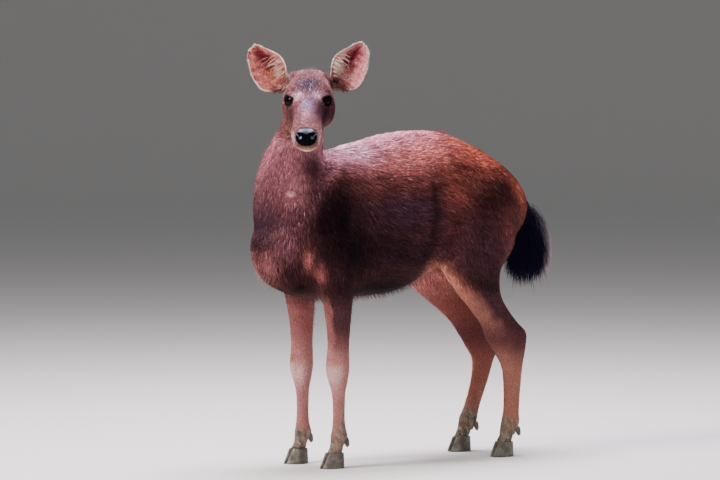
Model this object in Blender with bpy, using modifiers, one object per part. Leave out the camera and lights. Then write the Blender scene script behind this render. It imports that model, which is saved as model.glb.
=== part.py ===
"""A young sambar hind (Rusa unicolor), standing alert, life size, as a still museum model.

The animal faces -Y, its left side is +X and its hooves stand on the floor at z = 0.
The surfaces are the outside of the coat. The trunk, neck, shoulders and thighs are
lofts that are fused, smoothed and then parted with thin cuts. The head, ears, legs,
hooves and tail are lofts of their own, and the tail carries overlapping locks of hair.
"""
import math

import bmesh
import bpy
import numpy as np
from mathutils import Vector

# Driving dimensions, in metres
GAP = 0.0003
CENTRE_SHIFT = Vector((-0.028, -0.008, 0.0))
FUSE_VOXEL = 0.010
FUSE_SMOOTHING = 10
BODY_TRIANGLES = 2900

# Trunk sections: y, height of the top, height of the bottom, half width
TRUNK = (
    (-0.484, 0.636, 0.560, 0.028),
    (-0.463, 0.692, 0.522, 0.064),
    (-0.424, 0.747, 0.490, 0.092),
    (-0.370, 0.800, 0.470, 0.106),
    (-0.310, 0.845, 0.460, 0.114),
    (-0.250, 0.868, 0.456, 0.120),
    (-0.170, 0.884, 0.457, 0.128),
    (-0.090, 0.901, 0.461, 0.137),
    (-0.030, 0.909, 0.472, 0.141),
    (0.030, 0.913, 0.498, 0.141),
    (0.090, 0.911, 0.526, 0.138),
    (0.150, 0.900, 0.550, 0.132),
    (0.220, 0.873, 0.562, 0.126),
    (0.285, 0.842, 0.573, 0.117),
    (0.342, 0.806, 0.592, 0.098),
    (0.386, 0.764, 0.628, 0.061),
    (0.405, 0.730, 0.668, 0.031),
)
TRUNK_CREST = 0.30

# Neck sections: x, y, z of the centre, half width, half depth, turn to the left in degrees
NECK = (
    (0.000, -0.300, 0.585, 0.104, 0.140, 0),
    (0.000, -0.335, 0.640, 0.104, 0.142, 0),
    (0.000, -0.366, 0.710, 0.092, 0.122, 3),
    (0.001, -0.376, 0.780, 0.083, 0.107, 12),
    (0.003, -0.367, 0.845, 0.073, 0.093, 24),
    (0.010, -0.351, 0.905, 0.066, 0.080, 36),
    (0.015, -0.337, 0.965, 0.061, 0.072, 46),
    (0.015, -0.330, 1.020, 0.053, 0.064, 51),
    (0.010, -0.327, 1.060, 0.036, 0.044, 51),
)

# Foreleg of the left side: x, y, z of the centre, half width, half depth
FORELEG = (
    (0.052, -0.225, 0.835, 0.026, 0.034),
    (0.074, -0.250, 0.785, 0.040, 0.068),
    (0.086, -0.292, 0.710, 0.047, 0.088),
    (0.090, -0.322, 0.635, 0.048, 0.088),
    (0.090, -0.306, 0.565, 0.045, 0.080),
    (0.087, -0.286, 0.505, 0.039, 0.062),
    (0.085, -0.279, 0.455, 0.033, 0.047),
    (0.084, -0.276, 0.400, 0.029, 0.037),
    (0.083, -0.275, 0.340, 0.026, 0.032),
    (0.082, -0.276, 0.300, 0.028, 0.033),
    (0.082, -0.277, 0.270, 0.029, 0.034),
    (0.082, -0.276, 0.240, 0.024, 0.029),
    (0.082, -0.274, 0.205, 0.017, 0.021),
    (0.082, -0.273, 0.155, 0.0148, 0.0178),
    (0.082, -0.273, 0.115, 0.0165, 0.0195),
    (0.082, -0.272, 0.088, 0.0205, 0.0245),
    (0.082, -0.279, 0.063, 0.0180, 0.0200),
    (0.082, -0.288, 0.040, 0.0200, 0.0225),
)
# Hind leg of the left side: x, y, z of the centre, half width, half depth
HINDLEG = (
    (0.048, 0.205, 0.835, 0.032, 0.050),
    (0.072, 0.200, 0.785, 0.049, 0.105),
    (0.086, 0.195, 0.720, 0.056, 0.138),
    (0.095, 0.180, 0.650, 0.057, 0.145),
    (0.100, 0.168, 0.585, 0.055, 0.136),
    (0.100, 0.162, 0.525, 0.049, 0.100),
    (0.098, 0.188, 0.465, 0.038, 0.074),
    (0.096, 0.217, 0.425, 0.032, 0.063),
    (0.095, 0.256, 0.380, 0.028, 0.062),
    (0.094, 0.280, 0.352, 0.027, 0.070),
    (0.094, 0.288, 0.333, 0.026, 0.070),
    (0.094, 0.298, 0.300, 0.0255, 0.056),
    (0.094, 0.309, 0.250, 0.0205, 0.035),
    (0.094, 0.309, 0.185, 0.0175, 0.0275),
    (0.094, 0.306, 0.125, 0.0175, 0.0260),
    (0.094, 0.302, 0.090, 0.0210, 0.0290),
    (0.094, 0.291, 0.063, 0.0185, 0.0220),
    (0.094, 0.281, 0.040, 0.0200, 0.0235),
)
# How far each leg's sections lie behind the left one's, by height: z, shift in y
STANCE = {
    "fore_left": ((0.0, 0.0), (1.0, 0.0)),
    "fore_right": ((0.0, -0.006), (0.50, -0.006), (0.62, 0.0), (1.0, 0.0)),
    "hind_left": ((0.0, 0.0), (1.0, 0.0)),
    "hind_right": ((0.0, -0.010), (0.10, -0.004), (0.20, 0.028), (0.27, 0.044),
                   (0.33, 0.046), (0.40, 0.022), (0.47, -0.008), (0.55, -0.014), (0.70, 0.0)),
}
LEG_SIDES = 12
LEG_RINGS = 34
NOSE_SEGMENTS = 16
NOSTRIL_SEGMENTS = 8
FORELEG_TOP = 0.4500
HINDLEG_TOP = 0.4800
FORE_CANNON_TOP = 0.2350
HIND_CANNON_TOP = 0.2600
CORONET = 0.0420

# Planes that part the fused body, as a point and the direction of the part in front
NECK_BASE = (Vector((0.0, -0.290, 0.860)), Vector((0.0, -0.80, 0.60)))
SHOULDER_BACK = (Vector((0.0, -0.140, 0.700)), Vector((0.0, -1.0, 0.0)))
HIP_FRONT = (Vector((0.0, 0.020, 0.570)), Vector((0.0, -0.9654, 0.2607)))

# The head's own axes: it is turned to the left and the face slopes down
HEAD_ORIGIN = np.array((-0.001, -0.311, 1.052))
HEAD_TURN = math.radians(53.0)
HEAD_PITCH = math.radians(30.0)
FACING = np.array((math.sin(HEAD_TURN), -math.cos(HEAD_TURN), 0.0))
HEAD_SIDE = np.array((math.cos(HEAD_TURN), math.sin(HEAD_TURN), 0.0))
UP = np.array((0.0, 0.0, 1.0))
HEAD_AXIS = FACING * math.cos(HEAD_PITCH) - UP * math.sin(HEAD_PITCH)
HEAD_UP = FACING * math.sin(HEAD_PITCH) + UP * math.cos(HEAD_PITCH)

# Head sections: place along the head from the nape, top, bottom, half width, and how
# the upper half narrows (0.5 nearly square, 0.86 nearly round, 1.4 like a roof)
HEAD = (
    (-0.020, 0.004, -0.030, 0.014, 0.80),
    (-0.012, 0.022, -0.052, 0.038, 0.70),
    (0.006, 0.035, -0.070, 0.052, 0.78),
    (0.035, 0.045, -0.084, 0.058, 0.78),
    (0.065, 0.053, -0.091, 0.062, 0.77),
    (0.095, 0.056, -0.090, 0.065, 0.80),
    (0.120, 0.050, -0.084, 0.063, 0.95),
    (0.145, 0.043, -0.077, 0.052, 1.20),
    (0.175, 0.036, -0.070, 0.044, 1.40),
    (0.205, 0.031, -0.065, 0.040, 1.45),
    (0.235, 0.028, -0.064, 0.040, 1.30),
    (0.258, 0.024, -0.062, 0.041, 1.05),
    (0.275, 0.016, -0.055, 0.036, 0.90),
    (0.287, 0.004, -0.040, 0.024, 0.86),
    (0.291, -0.006, -0.024, 0.010, 0.86),
)
LOWER_POWER = 0.86
HEIGHT_POWER = 0.92
HEAD_RINGS = 36
HEAD_SIDES = 24

# Swellings and hollows of the head: along, side, up, reach, height out of the surface
HEAD_FORMS = (
    (0.104, 0.048, 0.036, 0.020, 0.0060),
    (0.156, 0.042, -0.004, 0.012, -0.0040),
    (0.108, 0.062, -0.014, 0.020, 0.0045),
    (0.078, 0.058, -0.048, 0.030, 0.0050),
    (0.114, 0.052, -0.052, 0.030, 0.0080),
    (0.180, 0.040, -0.012, 0.024, -0.0040),
    (0.020, 0.042, 0.030, 0.022, 0.0030),
    (0.266, 0.030, -0.002, 0.014, 0.0045),
    (0.240, 0.036, -0.034, 0.018, 0.0030),
    (0.262, 0.000, -0.058, 0.016, 0.0030),
    (0.195, 0.000, 0.034, 0.030, 0.0020),
)
EYE_PLACE = (0.126, 0.0405, 0.012)
EYE_RADIUS = 0.0195
EYE_SEGMENTS = 16
LID_THICKNESS = 0.0036
LID_SEGMENTS = 18
LID_OPENING = (0.0130, 0.0178, 0.0130)
LID_OPENING_OUT = 0.0205
LID_SLANT = -0.28
NOSE_PLACE = (0.290, 0.0, -0.006)
NOSE_SIZE = (0.024, 0.031, 0.026)
NOSTRIL_PLACE = (0.288, 0.0165, -0.003)
NOSTRIL_SIZE = (0.011, 0.0050, 0.0062)
MOUTH_TUBE = 0.0017
MOUTH_DEPTH = 0.0050
MOUTH_OUT = 0.0014
# The line of the mouth, by place along the head and height
MOUTH_LINE = ((0.208, -0.038), (0.230, -0.0435), (0.252, -0.0440), (0.272, -0.0405), (0.284, -0.0375))

# Ear: share of the length, outer half width, inner half width, depth of the cup, thickness
EAR = (
    (0.00, 0.012, 0.006, 0.004, 0.0120),
    (0.06, 0.026, 0.006, 0.014, 0.0100),
    (0.12, 0.044, 0.009, 0.022, 0.0075),
    (0.21, 0.058, 0.017, 0.029, 0.0058),
    (0.34, 0.066, 0.030, 0.031, 0.0045),
    (0.50, 0.0635, 0.036, 0.026, 0.0040),
    (0.66, 0.057, 0.031, 0.019, 0.0035),
    (0.82, 0.043, 0.021, 0.011, 0.0030),
    (0.93, 0.033, 0.015, 0.006, 0.0028),
    (1.00, 0.019, 0.008, 0.003, 0.0025),
)
EAR_LENGTH = 0.142
EAR_ROOT = (0.026, 0.054, 0.000)
EAR_LEAN_LEFT = (0.62, 0.79, -0.05)
EAR_LEAN_RIGHT = (0.68, 0.73, -0.05)
EAR_ROWS = 12
EAR_COLUMNS = 9

# Tail: y, z of the centre, half width, half depth of its core, from the dock down
TAIL = (
    (0.372, 0.724, 0.020, 0.022),
    (0.402, 0.708, 0.025, 0.026),
    (0.424, 0.674, 0.026, 0.027),
    (0.436, 0.640, 0.029, 0.030),
    (0.442, 0.608, 0.029, 0.030),
    (0.441, 0.576, 0.025, 0.026),
    (0.438, 0.552, 0.015, 0.016),
    (0.437, 0.543, 0.005, 0.005),
)
TAIL_TIERS = ((0.690, 5), (0.658, 6), (0.626, 7), (0.594, 7), (0.564, 5))
LOCK_LENGTH = 0.088
LOCK_WIDTH = 0.0230
LOCK_THICKNESS = 0.0055
LOCK_SPREAD = 1.50
LOCK_SEED = 7

# One toe of a hoof, seen from above: share of the outline round it and its size
HOOF_TOP_LENGTH = 0.046
HOOF_SOLE_LENGTH = 0.068
HOOF_TOP_WIDTH = 0.0205
HOOF_SOLE_WIDTH = 0.0235
HOOF_CLEFT = 0.0016
HOOF_TOE_OUT = 0.010
HOOF_POINTS = 12
DEWCLAW_HEIGHT = 0.074
DEWCLAW_LENGTH = 0.018
DEWCLAW_RADIUS = 0.0085

# Colours of the pieces: red, green, blue, roughness
COAT_BROWN = (0.105, 0.036, 0.020, 0.75)
COAT_RUST = (0.190, 0.062, 0.030, 0.75)
COAT_DARK = (0.040, 0.014, 0.010, 0.75)
LEG_TAN = (0.270, 0.115, 0.070, 0.75)
EAR_PINK = (0.420, 0.130, 0.105, 0.65)
NOSE_BLACK = (0.012, 0.012, 0.016, 0.25)
EYE_BLACK = (0.008, 0.005, 0.004, 0.08)
HORN_GREY = (0.050, 0.040, 0.036, 0.45)


def clear_scene():
    """Remove every object that the file opened with."""
    for old in list(bpy.data.objects):
        bpy.data.objects.remove(old, do_unlink=True)


def collection(name):
    """A collection of the scene, made when it isn't there yet."""
    found = bpy.data.collections.get(name)
    if found is None:
        found = bpy.data.collections.new(name)
        bpy.context.scene.collection.children.link(found)
    return found


def spread(keys, count):
    """Rows of key values made into count rows on a smooth curve through the keys."""
    keys = np.asarray(keys, float)
    slope = np.gradient(keys, axis=0)
    at = np.linspace(0.0, len(keys) - 1.0, count)
    low = np.minimum(at.astype(int), len(keys) - 2)
    t = (at - low)[:, None]
    return ((1 + 2 * t) * (1 - t) ** 2 * keys[low] + t * (1 - t) ** 2 * slope[low]
            + t * t * (3 - 2 * t) * keys[low + 1] + t * t * (t - 1) * slope[low + 1])


def new_object(name, points, faces, home="guides"):
    """A closed mesh object from points and faces, with its faces pointing out."""
    mesh = bpy.data.meshes.new(name)
    mesh.from_pydata([tuple(p) for p in points], [], faces)
    work = bmesh.new()
    work.from_mesh(mesh)
    bmesh.ops.recalc_face_normals(work, faces=work.faces)
    work.to_mesh(mesh)
    work.free()
    made = bpy.data.objects.new(name, mesh)
    collection(home).objects.link(made)
    return made


def loft(name, rings):
    """A tube through rings of points, closed at both ends by a point at the middle."""
    count, sides = rings.shape[:2]
    points = np.concatenate([rings.reshape(-1, 3), [rings[0].mean(axis=0)], [rings[-1].mean(axis=0)]])
    first, last = count * sides, count * sides + 1
    faces = []
    for ring in range(count - 1):
        for side in range(sides):
            ahead = (side + 1) % sides
            faces.append((ring * sides + side, ring * sides + ahead,
                          (ring + 1) * sides + ahead, (ring + 1) * sides + side))
    for side in range(sides):
        ahead = (side + 1) % sides
        faces.append((first, ahead, side))
        faces.append((last, (count - 1) * sides + side, (count - 1) * sides + ahead))
    return new_object(name, points, faces)


def round_angles(sides):
    """Cosines and sines of evenly spaced angles round a ring."""
    angle = np.linspace(0.0, 2.0 * math.pi, sides, endpoint=False)
    return np.cos(angle), np.sin(angle)


def trunk_rings(count, sides):
    """Trunk sections: wide below the middle and drawn in towards the crest of the back."""
    across, height = round_angles(sides)
    rows = spread(TRUNK, count)
    y, top, bottom, half = (rows[:, k, None] for k in range(4))
    middle = bottom + (top - bottom) * 0.48
    rise = np.where(height > 0, top - middle, middle - bottom) * height
    width = half * across * (1.0 - TRUNK_CREST * np.maximum(height, 0.0) ** 3)
    return np.stack([width, np.broadcast_to(y, width.shape), middle + rise], axis=2)


def neck_rings(count, sides):
    """Neck sections square to its own line, turned to the left towards the head."""
    across, depth = round_angles(sides)
    rows = spread(NECK, count)
    line = rows[:, :3]
    along = np.gradient(line, axis=0)
    along /= np.linalg.norm(along, axis=1, keepdims=True)
    turn = np.radians(rows[:, 5])
    side = np.stack([np.cos(turn), np.sin(turn), np.zeros_like(turn)], axis=1)
    front = np.cross(side, along)
    front /= np.linalg.norm(front, axis=1, keepdims=True)
    return (line[:, None, :] + side[:, None, :] * (rows[:, 3, None] * across)[:, :, None]
            + front[:, None, :] * (rows[:, 4, None] * depth)[:, :, None])


def leg_rings(which, count, sides):
    """Level sections of one leg, mirrored for the right side and set to its stance."""
    across, depth = round_angles(sides)
    rows = spread(FORELEG if which.startswith("fore") else HINDLEG, count)
    stance = np.array(STANCE[which])
    mirror = 1.0 if which.endswith("left") else -1.0
    y = rows[:, 1] + np.interp(rows[:, 2], stance[:, 0], stance[:, 1])
    return np.stack([mirror * rows[:, 0, None] + rows[:, 3, None] * across,
                     y[:, None] + rows[:, 4, None] * depth,
                     np.repeat(rows[:, 2, None], sides, axis=1)], axis=2)


def head_world(local):
    """World places of points given along the head, to its side and up from its line."""
    local = np.asarray(local, float)
    return (HEAD_ORIGIN + local[..., 0, None] * HEAD_AXIS + local[..., 1, None] * HEAD_SIDE
            + local[..., 2, None] * HEAD_UP)


def head_shape(rows, across, height):
    """Head surface in its own axes: superellipse sections with the named forms raised on them."""
    along, top, bottom, half, top_power = (rows[:, k, None] for k in range(5))
    middle = bottom + (top - bottom) * 0.55
    rise = np.where(height > 0, top - middle, middle - bottom)
    side = half * np.sign(across) * np.abs(across) ** np.where(height > 0, top_power, LOWER_POWER)
    up = middle + rise * np.sign(height) * np.abs(height) ** HEIGHT_POWER
    base = np.stack([np.broadcast_to(along, side.shape), side, up], axis=2)
    out = np.stack([np.zeros_like(side), side, up - middle], axis=2)
    out /= np.maximum(np.linalg.norm(out, axis=2, keepdims=True), 1e-9)
    swell = np.zeros(side.shape)
    for place_along, place_side, place_up, reach, rises in HEAD_FORMS:
        for mirror in ((1.0, -1.0) if place_side else (1.0,)):
            apart = base - np.array((place_along, place_side * mirror, place_up))
            swell += rises * np.exp(-np.sum(apart * apart, axis=2) / (reach * reach))
    return base + out * swell[:, :, None]


def head_rings(count, sides):
    """The head's rings in the world."""
    across, height = round_angles(sides)
    return head_world(head_shape(spread(HEAD, count), across, height))


def ball(name, middle, axes, sizes, segments):
    """A closed ellipsoid with its poles along the first axis."""
    rings = segments // 2 - 1
    polar = np.linspace(0.0, math.pi, rings + 2)[1:-1, None]
    turn = np.linspace(0.0, 2.0 * math.pi, segments, endpoint=False)[None, :]
    unit = np.stack([np.cos(polar) + 0 * turn, np.sin(polar) * np.cos(turn),
                     np.sin(polar) * np.sin(turn)], axis=2)
    grid = middle + (unit * np.asarray(sizes)) @ np.asarray(axes)
    made = loft(name, grid)
    points = made.data.vertices
    points[rings * segments].co = middle + axes[0] * sizes[0]
    points[rings * segments + 1].co = middle - axes[0] * sizes[0]
    return made


def mesh_copy(source, name, home):
    """A new object that holds a source object's evaluated mesh."""
    bpy.context.view_layer.update()
    graph = bpy.context.evaluated_depsgraph_get()
    mesh = bpy.data.meshes.new_from_object(source.evaluated_get(graph))
    mesh.name = name
    made = bpy.data.objects.new(name, mesh)
    made.matrix_world = source.matrix_world
    collection(home).objects.link(made)
    return made


def discard(*objects):
    """Remove helpers that have done their work."""
    for old in objects:
        bpy.data.objects.remove(old, do_unlink=True)


def swollen(source, amount):
    """A copy whose surface stands out by the amount, used to cut a neighbour clear."""
    made = mesh_copy(source, source.name + "_swollen", "guides")
    work = bmesh.new()
    work.from_mesh(made.data)
    work.normal_update()
    for vertex in work.verts:
        vertex.co += vertex.normal * amount
    work.to_mesh(made.data)
    work.free()
    return made


def keep_largest(target):
    """Delete all but the largest closed surface, and merge the points that meet."""
    work = bmesh.new()
    work.from_mesh(target.data)
    bmesh.ops.remove_doubles(work, verts=work.verts, dist=0.000001)
    bmesh.ops.triangulate(work, faces=work.faces)
    islands = []
    left = set(work.faces)
    while left:
        stack = [left.pop()]
        island = list(stack)
        while stack:
            for edge in stack.pop().edges:
                for face in edge.link_faces:
                    if face in left:
                        left.remove(face)
                        island.append(face)
                        stack.append(face)
        islands.append(island)
    islands.sort(key=lambda island: sum(face.calc_area() for face in island))
    for island in islands[:-1]:
        bmesh.ops.delete(work, geom=island, context="FACES")
    loose = [vertex for vertex in work.verts if not vertex.link_faces]
    bmesh.ops.delete(work, geom=loose, context="VERTS")
    bmesh.ops.recalc_face_normals(work, faces=work.faces)
    work.to_mesh(target.data)
    work.free()


def combine(target, others, operation, solver="EXACT"):
    """Boolean of a target with a collection of closed objects, applied to the target's mesh."""
    tools = collection("boolean_tools")
    for other in others:
        tools.objects.link(other)
    step = target.modifiers.new(operation.lower(), "BOOLEAN")
    step.operation = operation
    step.solver = solver
    step.operand_type = "COLLECTION"
    step.collection = tools
    result = mesh_copy(target, target.name + "_result", "guides")
    target.modifiers.clear()
    old = target.data
    target.data = result.data
    target.data.name = target.name
    bpy.data.objects.remove(result, do_unlink=True)
    bpy.data.meshes.remove(old)
    for other in others:
        tools.objects.unlink(other)
    keep_largest(target)


def sliced(source, name, planes):
    """The part of a source that lies in front of all planes, with the cut faces filled."""
    made = mesh_copy(source, name, "guides")
    work = bmesh.new()
    work.from_mesh(made.data)
    for point, direction in planes:
        everything = work.verts[:] + work.edges[:] + work.faces[:]
        normal = direction.normalized()
        bmesh.ops.bisect_plane(work, geom=everything, dist=0.000001, clear_inner=True,
                               plane_co=point + normal * GAP / 2, plane_no=normal)
        rim = [edge for edge in work.edges if edge.is_boundary]
        bmesh.ops.edgenet_fill(work, edges=rim)
    bmesh.ops.triangulate(work, faces=work.faces, ngon_method="EAR_CLIP")
    bmesh.ops.recalc_face_normals(work, faces=work.faces)
    work.to_mesh(made.data)
    work.free()
    return made


def behind(plane):
    """The same plane, looking the other way."""
    return (plane[0], -plane[1])


def level(height, up):
    """A level plane that keeps what is above it, or below it."""
    return (Vector((0.0, 0.0, height)), Vector((0.0, 0.0, 1.0 if up else -1.0)))


def fused_body():
    """Trunk, neck, shoulders and thighs joined by a voxel remesh, smoothed and thinned."""
    pieces = [loft("trunk_form", trunk_rings(60, 40)), loft("neck_form", neck_rings(36, 32))]
    for which in STANCE:
        rings = leg_rings(which, 60, 28)
        floor = 0.40 if which.startswith("fore") else 0.46
        pieces.append(loft(which + "_form", rings[rings[:, 0, 2] > floor]))
    body = pieces[0]
    work = bmesh.new()
    for piece in pieces:
        work.from_mesh(piece.data)
    joined = bpy.data.meshes.new("body_form")
    work.to_mesh(joined)
    work.free()
    body.data = joined
    discard(*pieces[1:])
    remesh = body.modifiers.new("fuse", "REMESH")
    remesh.mode = "VOXEL"
    remesh.voxel_size = FUSE_VOXEL
    smooth = body.modifiers.new("smooth", "SMOOTH")
    smooth.factor = 0.5
    smooth.iterations = FUSE_SMOOTHING
    fine = mesh_copy(body, "body_fine", "guides")
    thin = fine.modifiers.new("thin", "DECIMATE")
    triangles = sum(len(face.vertices) - 2 for face in fine.data.polygons)
    thin.ratio = BODY_TRIANGLES / triangles
    coarse = mesh_copy(fine, "body", "guides")
    discard(body, fine)
    return coarse


def body_parts(head):
    """Neck, forequarters, barrel and hindquarters, parted from the fused body."""
    body = fused_body()
    chest_floor = level(FORELEG_TOP, True)
    neck = sliced(body, "neck", [NECK_BASE])
    fore = sliced(body, "forequarters", [behind(NECK_BASE), SHOULDER_BACK, chest_floor])
    barrel = sliced(body, "barrel", [behind(SHOULDER_BACK), HIP_FRONT])
    hind = sliced(body, "hindquarters", [behind(HIP_FRONT), level(HINDLEG_TOP, True)])
    socket = swollen(head, GAP)
    combine(neck, [socket], "DIFFERENCE")
    discard(body, socket)
    return neck, fore, barrel, hind


def leg_parts(which):
    """The upper leg and the cannon with the fetlock and pastern, cut from one loft."""
    front = which.startswith("fore")
    whole = loft(which + "_leg", leg_rings(which, LEG_RINGS, LEG_SIDES))
    top = FORELEG_TOP if front else HINDLEG_TOP
    knee = FORE_CANNON_TOP if front else HIND_CANNON_TOP
    names = ("forearm_", "fore_cannon_") if front else ("gaskin_", "hind_cannon_")
    side = which.split("_")[1]
    upper = sliced(whole, names[0] + side, [level(top, False), level(knee, True)])
    lower = sliced(whole, names[1] + side, [level(knee, False), level(CORONET, True)])
    discard(whole)
    return upper, lower


def foot_place(which):
    """Centre of a leg at the coronet, in x and y."""
    rows = np.array(FORELEG if which.startswith("fore") else HINDLEG)[-1]
    stance = np.array(STANCE[which])
    mirror = 1.0 if which.endswith("left") else -1.0
    return mirror * rows[0], rows[1] + np.interp(CORONET, stance[:, 0], stance[:, 1])


def toe(name, x, y, side):
    """One half of a cloven hoof: a D-shaped wedge, flat below and pointed in front."""
    angle = np.linspace(0.0, 2.0 * math.pi, HOOF_POINTS, endpoint=False)
    rings = []
    for share in (0.0, 0.06, 0.5, 1.0):
        length = HOOF_SOLE_LENGTH + (HOOF_TOP_LENGTH - HOOF_SOLE_LENGTH) * share
        width = HOOF_SOLE_WIDTH + (HOOF_TOP_WIDTH - HOOF_SOLE_WIDTH) * share
        if share == 0.0:
            length, width = length - 0.003, width - 0.002
        height = share * (CORONET - GAP / 2)
        ahead = -HOOF_TOE_OUT * (1.0 - share)
        across = 0.5 + 0.5 * np.cos(angle)
        forward = np.sin(angle)
        taper = 1.0 - 0.45 * np.clip(-forward, 0.0, 1.0) ** 2 * (1.0 - 0.5 * share)
        rings.append(np.stack([x + side * (HOOF_CLEFT / 2 + width * across * taper),
                               y + ahead + length / 2 * forward,
                               np.full_like(angle, height)], axis=1))
    return loft(name, np.array(rings))


def dewclaw(name, x, y, z, side):
    """A small horn cone behind the fetlock, pointing down and outwards."""
    along = np.array((side * 0.20, 0.14, -0.95))
    along /= np.linalg.norm(along)
    across = np.cross(along, (1.0, 0.0, 0.0))
    across /= np.linalg.norm(across)
    other = np.cross(along, across)
    root = np.array((x, y, z))
    cosine, sine = round_angles(7)
    rings = []
    for share, width in ((-0.45, 0.80), (0.0, 1.0), (0.6, 0.80), (1.0, 0.3)):
        middle = root + along * DEWCLAW_LENGTH * share
        rings.append(middle + DEWCLAW_RADIUS * width * (across * cosine[:, None]
                                                        + other * 0.75 * sine[:, None]))
    return loft(name, np.array(rings))


def feet(which, cannon):
    """Two toes under the pastern and two dewclaws set into the back of the fetlock."""
    x, y = foot_place(which)
    fetlock = np.array(FORELEG if which.startswith("fore") else HINDLEG)[-3]
    stance = np.array(STANCE[which])
    behind_y = fetlock[1] + np.interp(fetlock[2], stance[:, 0], stance[:, 1]) + fetlock[4] * 0.70
    made = []
    for label, side in (("left", 1.0), ("right", -1.0)):
        made.append(toe("hoof_%s_%s" % (which, label), x, y, side))
        made.append(dewclaw("dewclaw_%s_%s" % (which, label), x + side * fetlock[3] * 0.48,
                            behind_y, DEWCLAW_HEIGHT, side))
    claws = [swollen(piece, GAP) for piece in made if piece.name.startswith("dewclaw")]
    combine(cannon, claws, "DIFFERENCE")
    discard(*claws)
    return made


def eye_axes(side):
    """Where an eye looks, the line between its corners, and the way up across it."""
    look = HEAD_SIDE * side * 0.76 + HEAD_AXIS * 0.58 + HEAD_UP * 0.24
    look /= np.linalg.norm(look)
    corner = HEAD_AXIS - HEAD_UP * LID_SLANT
    corner -= look * np.dot(corner, look)
    corner /= np.linalg.norm(corner)
    return [look, corner, np.cross(look, corner)]


def set_eye(head, name, side):
    """Close lids over one side of the head, open them like an almond and seat the eye."""
    axes = eye_axes(side)
    middle = head_world(np.array(EYE_PLACE) * (1.0, side, 1.0))
    lids = ball("lids_tool", middle, axes, (EYE_RADIUS + LID_THICKNESS,) * 3, LID_SEGMENTS)
    combine(head, [lids], "UNION")
    opening = ball("opening_tool", middle + axes[0] * LID_OPENING_OUT, axes, LID_OPENING, LID_SEGMENTS)
    eye = ball(name, middle, axes, (EYE_RADIUS,) * 3, EYE_SEGMENTS)
    socket = swollen(eye, GAP)
    combine(head, [opening, socket], "DIFFERENCE")
    discard(lids, opening, socket)
    return eye


def mouth_cutter():
    """A thin tube along the line of the lips, from one corner of the mouth to the other."""
    line = spread(MOUTH_LINE, 12)
    rows = np.array(HEAD)
    half = np.interp(line[:, 0], rows[:, 0], rows[:, 3])
    top = np.interp(line[:, 0], rows[:, 0], rows[:, 1])
    bottom = np.interp(line[:, 0], rows[:, 0], rows[:, 2])
    middle = bottom + (top - bottom) * 0.55
    height = -np.clip(((middle - line[:, 1]) / (middle - bottom)), 0.0, 0.999) ** (1 / HEIGHT_POWER)
    side = half * np.sqrt(1.0 - height ** 2) ** LOWER_POWER + MOUTH_OUT
    local = np.stack([line[:, 0], side, line[:, 1]], axis=1)
    local[-1, 1] = 0.010
    other = local[::-1] * (1.0, -1.0, 1.0)
    middle_point = np.array([[local[-1, 0] + 0.0045, 0.0, local[-1, 2]]])
    path = head_world(np.concatenate([local, middle_point, other]))
    ahead = np.gradient(path, axis=0)
    ahead /= np.linalg.norm(ahead, axis=1, keepdims=True)
    across = np.cross(ahead, HEAD_UP)
    across /= np.linalg.norm(across, axis=1, keepdims=True)
    cosine, sine = round_angles(6)
    rings = (path[:, None, :] + across[:, None, :] * (cosine * MOUTH_DEPTH)[None, :, None]
             + HEAD_UP * (sine * MOUTH_TUBE)[None, :, None])
    return loft("mouth_cutter", rings)


def head_parts():
    """The head with its lids, mouth and nose cut, the two eyes and the nose pad."""
    head = loft("head", head_rings(HEAD_RINGS, HEAD_SIDES))
    eyes = [set_eye(head, "eye_left", 1.0), set_eye(head, "eye_right", -1.0)]
    axes = [HEAD_AXIS, HEAD_SIDE, HEAD_UP]
    nose_tool = ball("nose_tool", head_world(NOSE_PLACE), axes, NOSE_SIZE, NOSE_SEGMENTS)
    nose = mesh_copy(head, "nose_pad", "guides")
    combine(nose, [nose_tool], "INTERSECT")
    wide = swollen(nose_tool, GAP)
    combine(head, [wide, mouth_cutter()], "DIFFERENCE")
    nostrils = []
    for side in (1.0, -1.0):
        place = head_world(np.array(NOSTRIL_PLACE) * (1.0, side, 1.0))
        nostrils.append(ball("nostril_tool", place, axes, NOSTRIL_SIZE, NOSTRIL_SEGMENTS))
    combine(nose, nostrils, "DIFFERENCE")
    discard(nose_tool, wide, bpy.data.objects["mouth_cutter"], *nostrils)
    return head, eyes, nose


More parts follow.
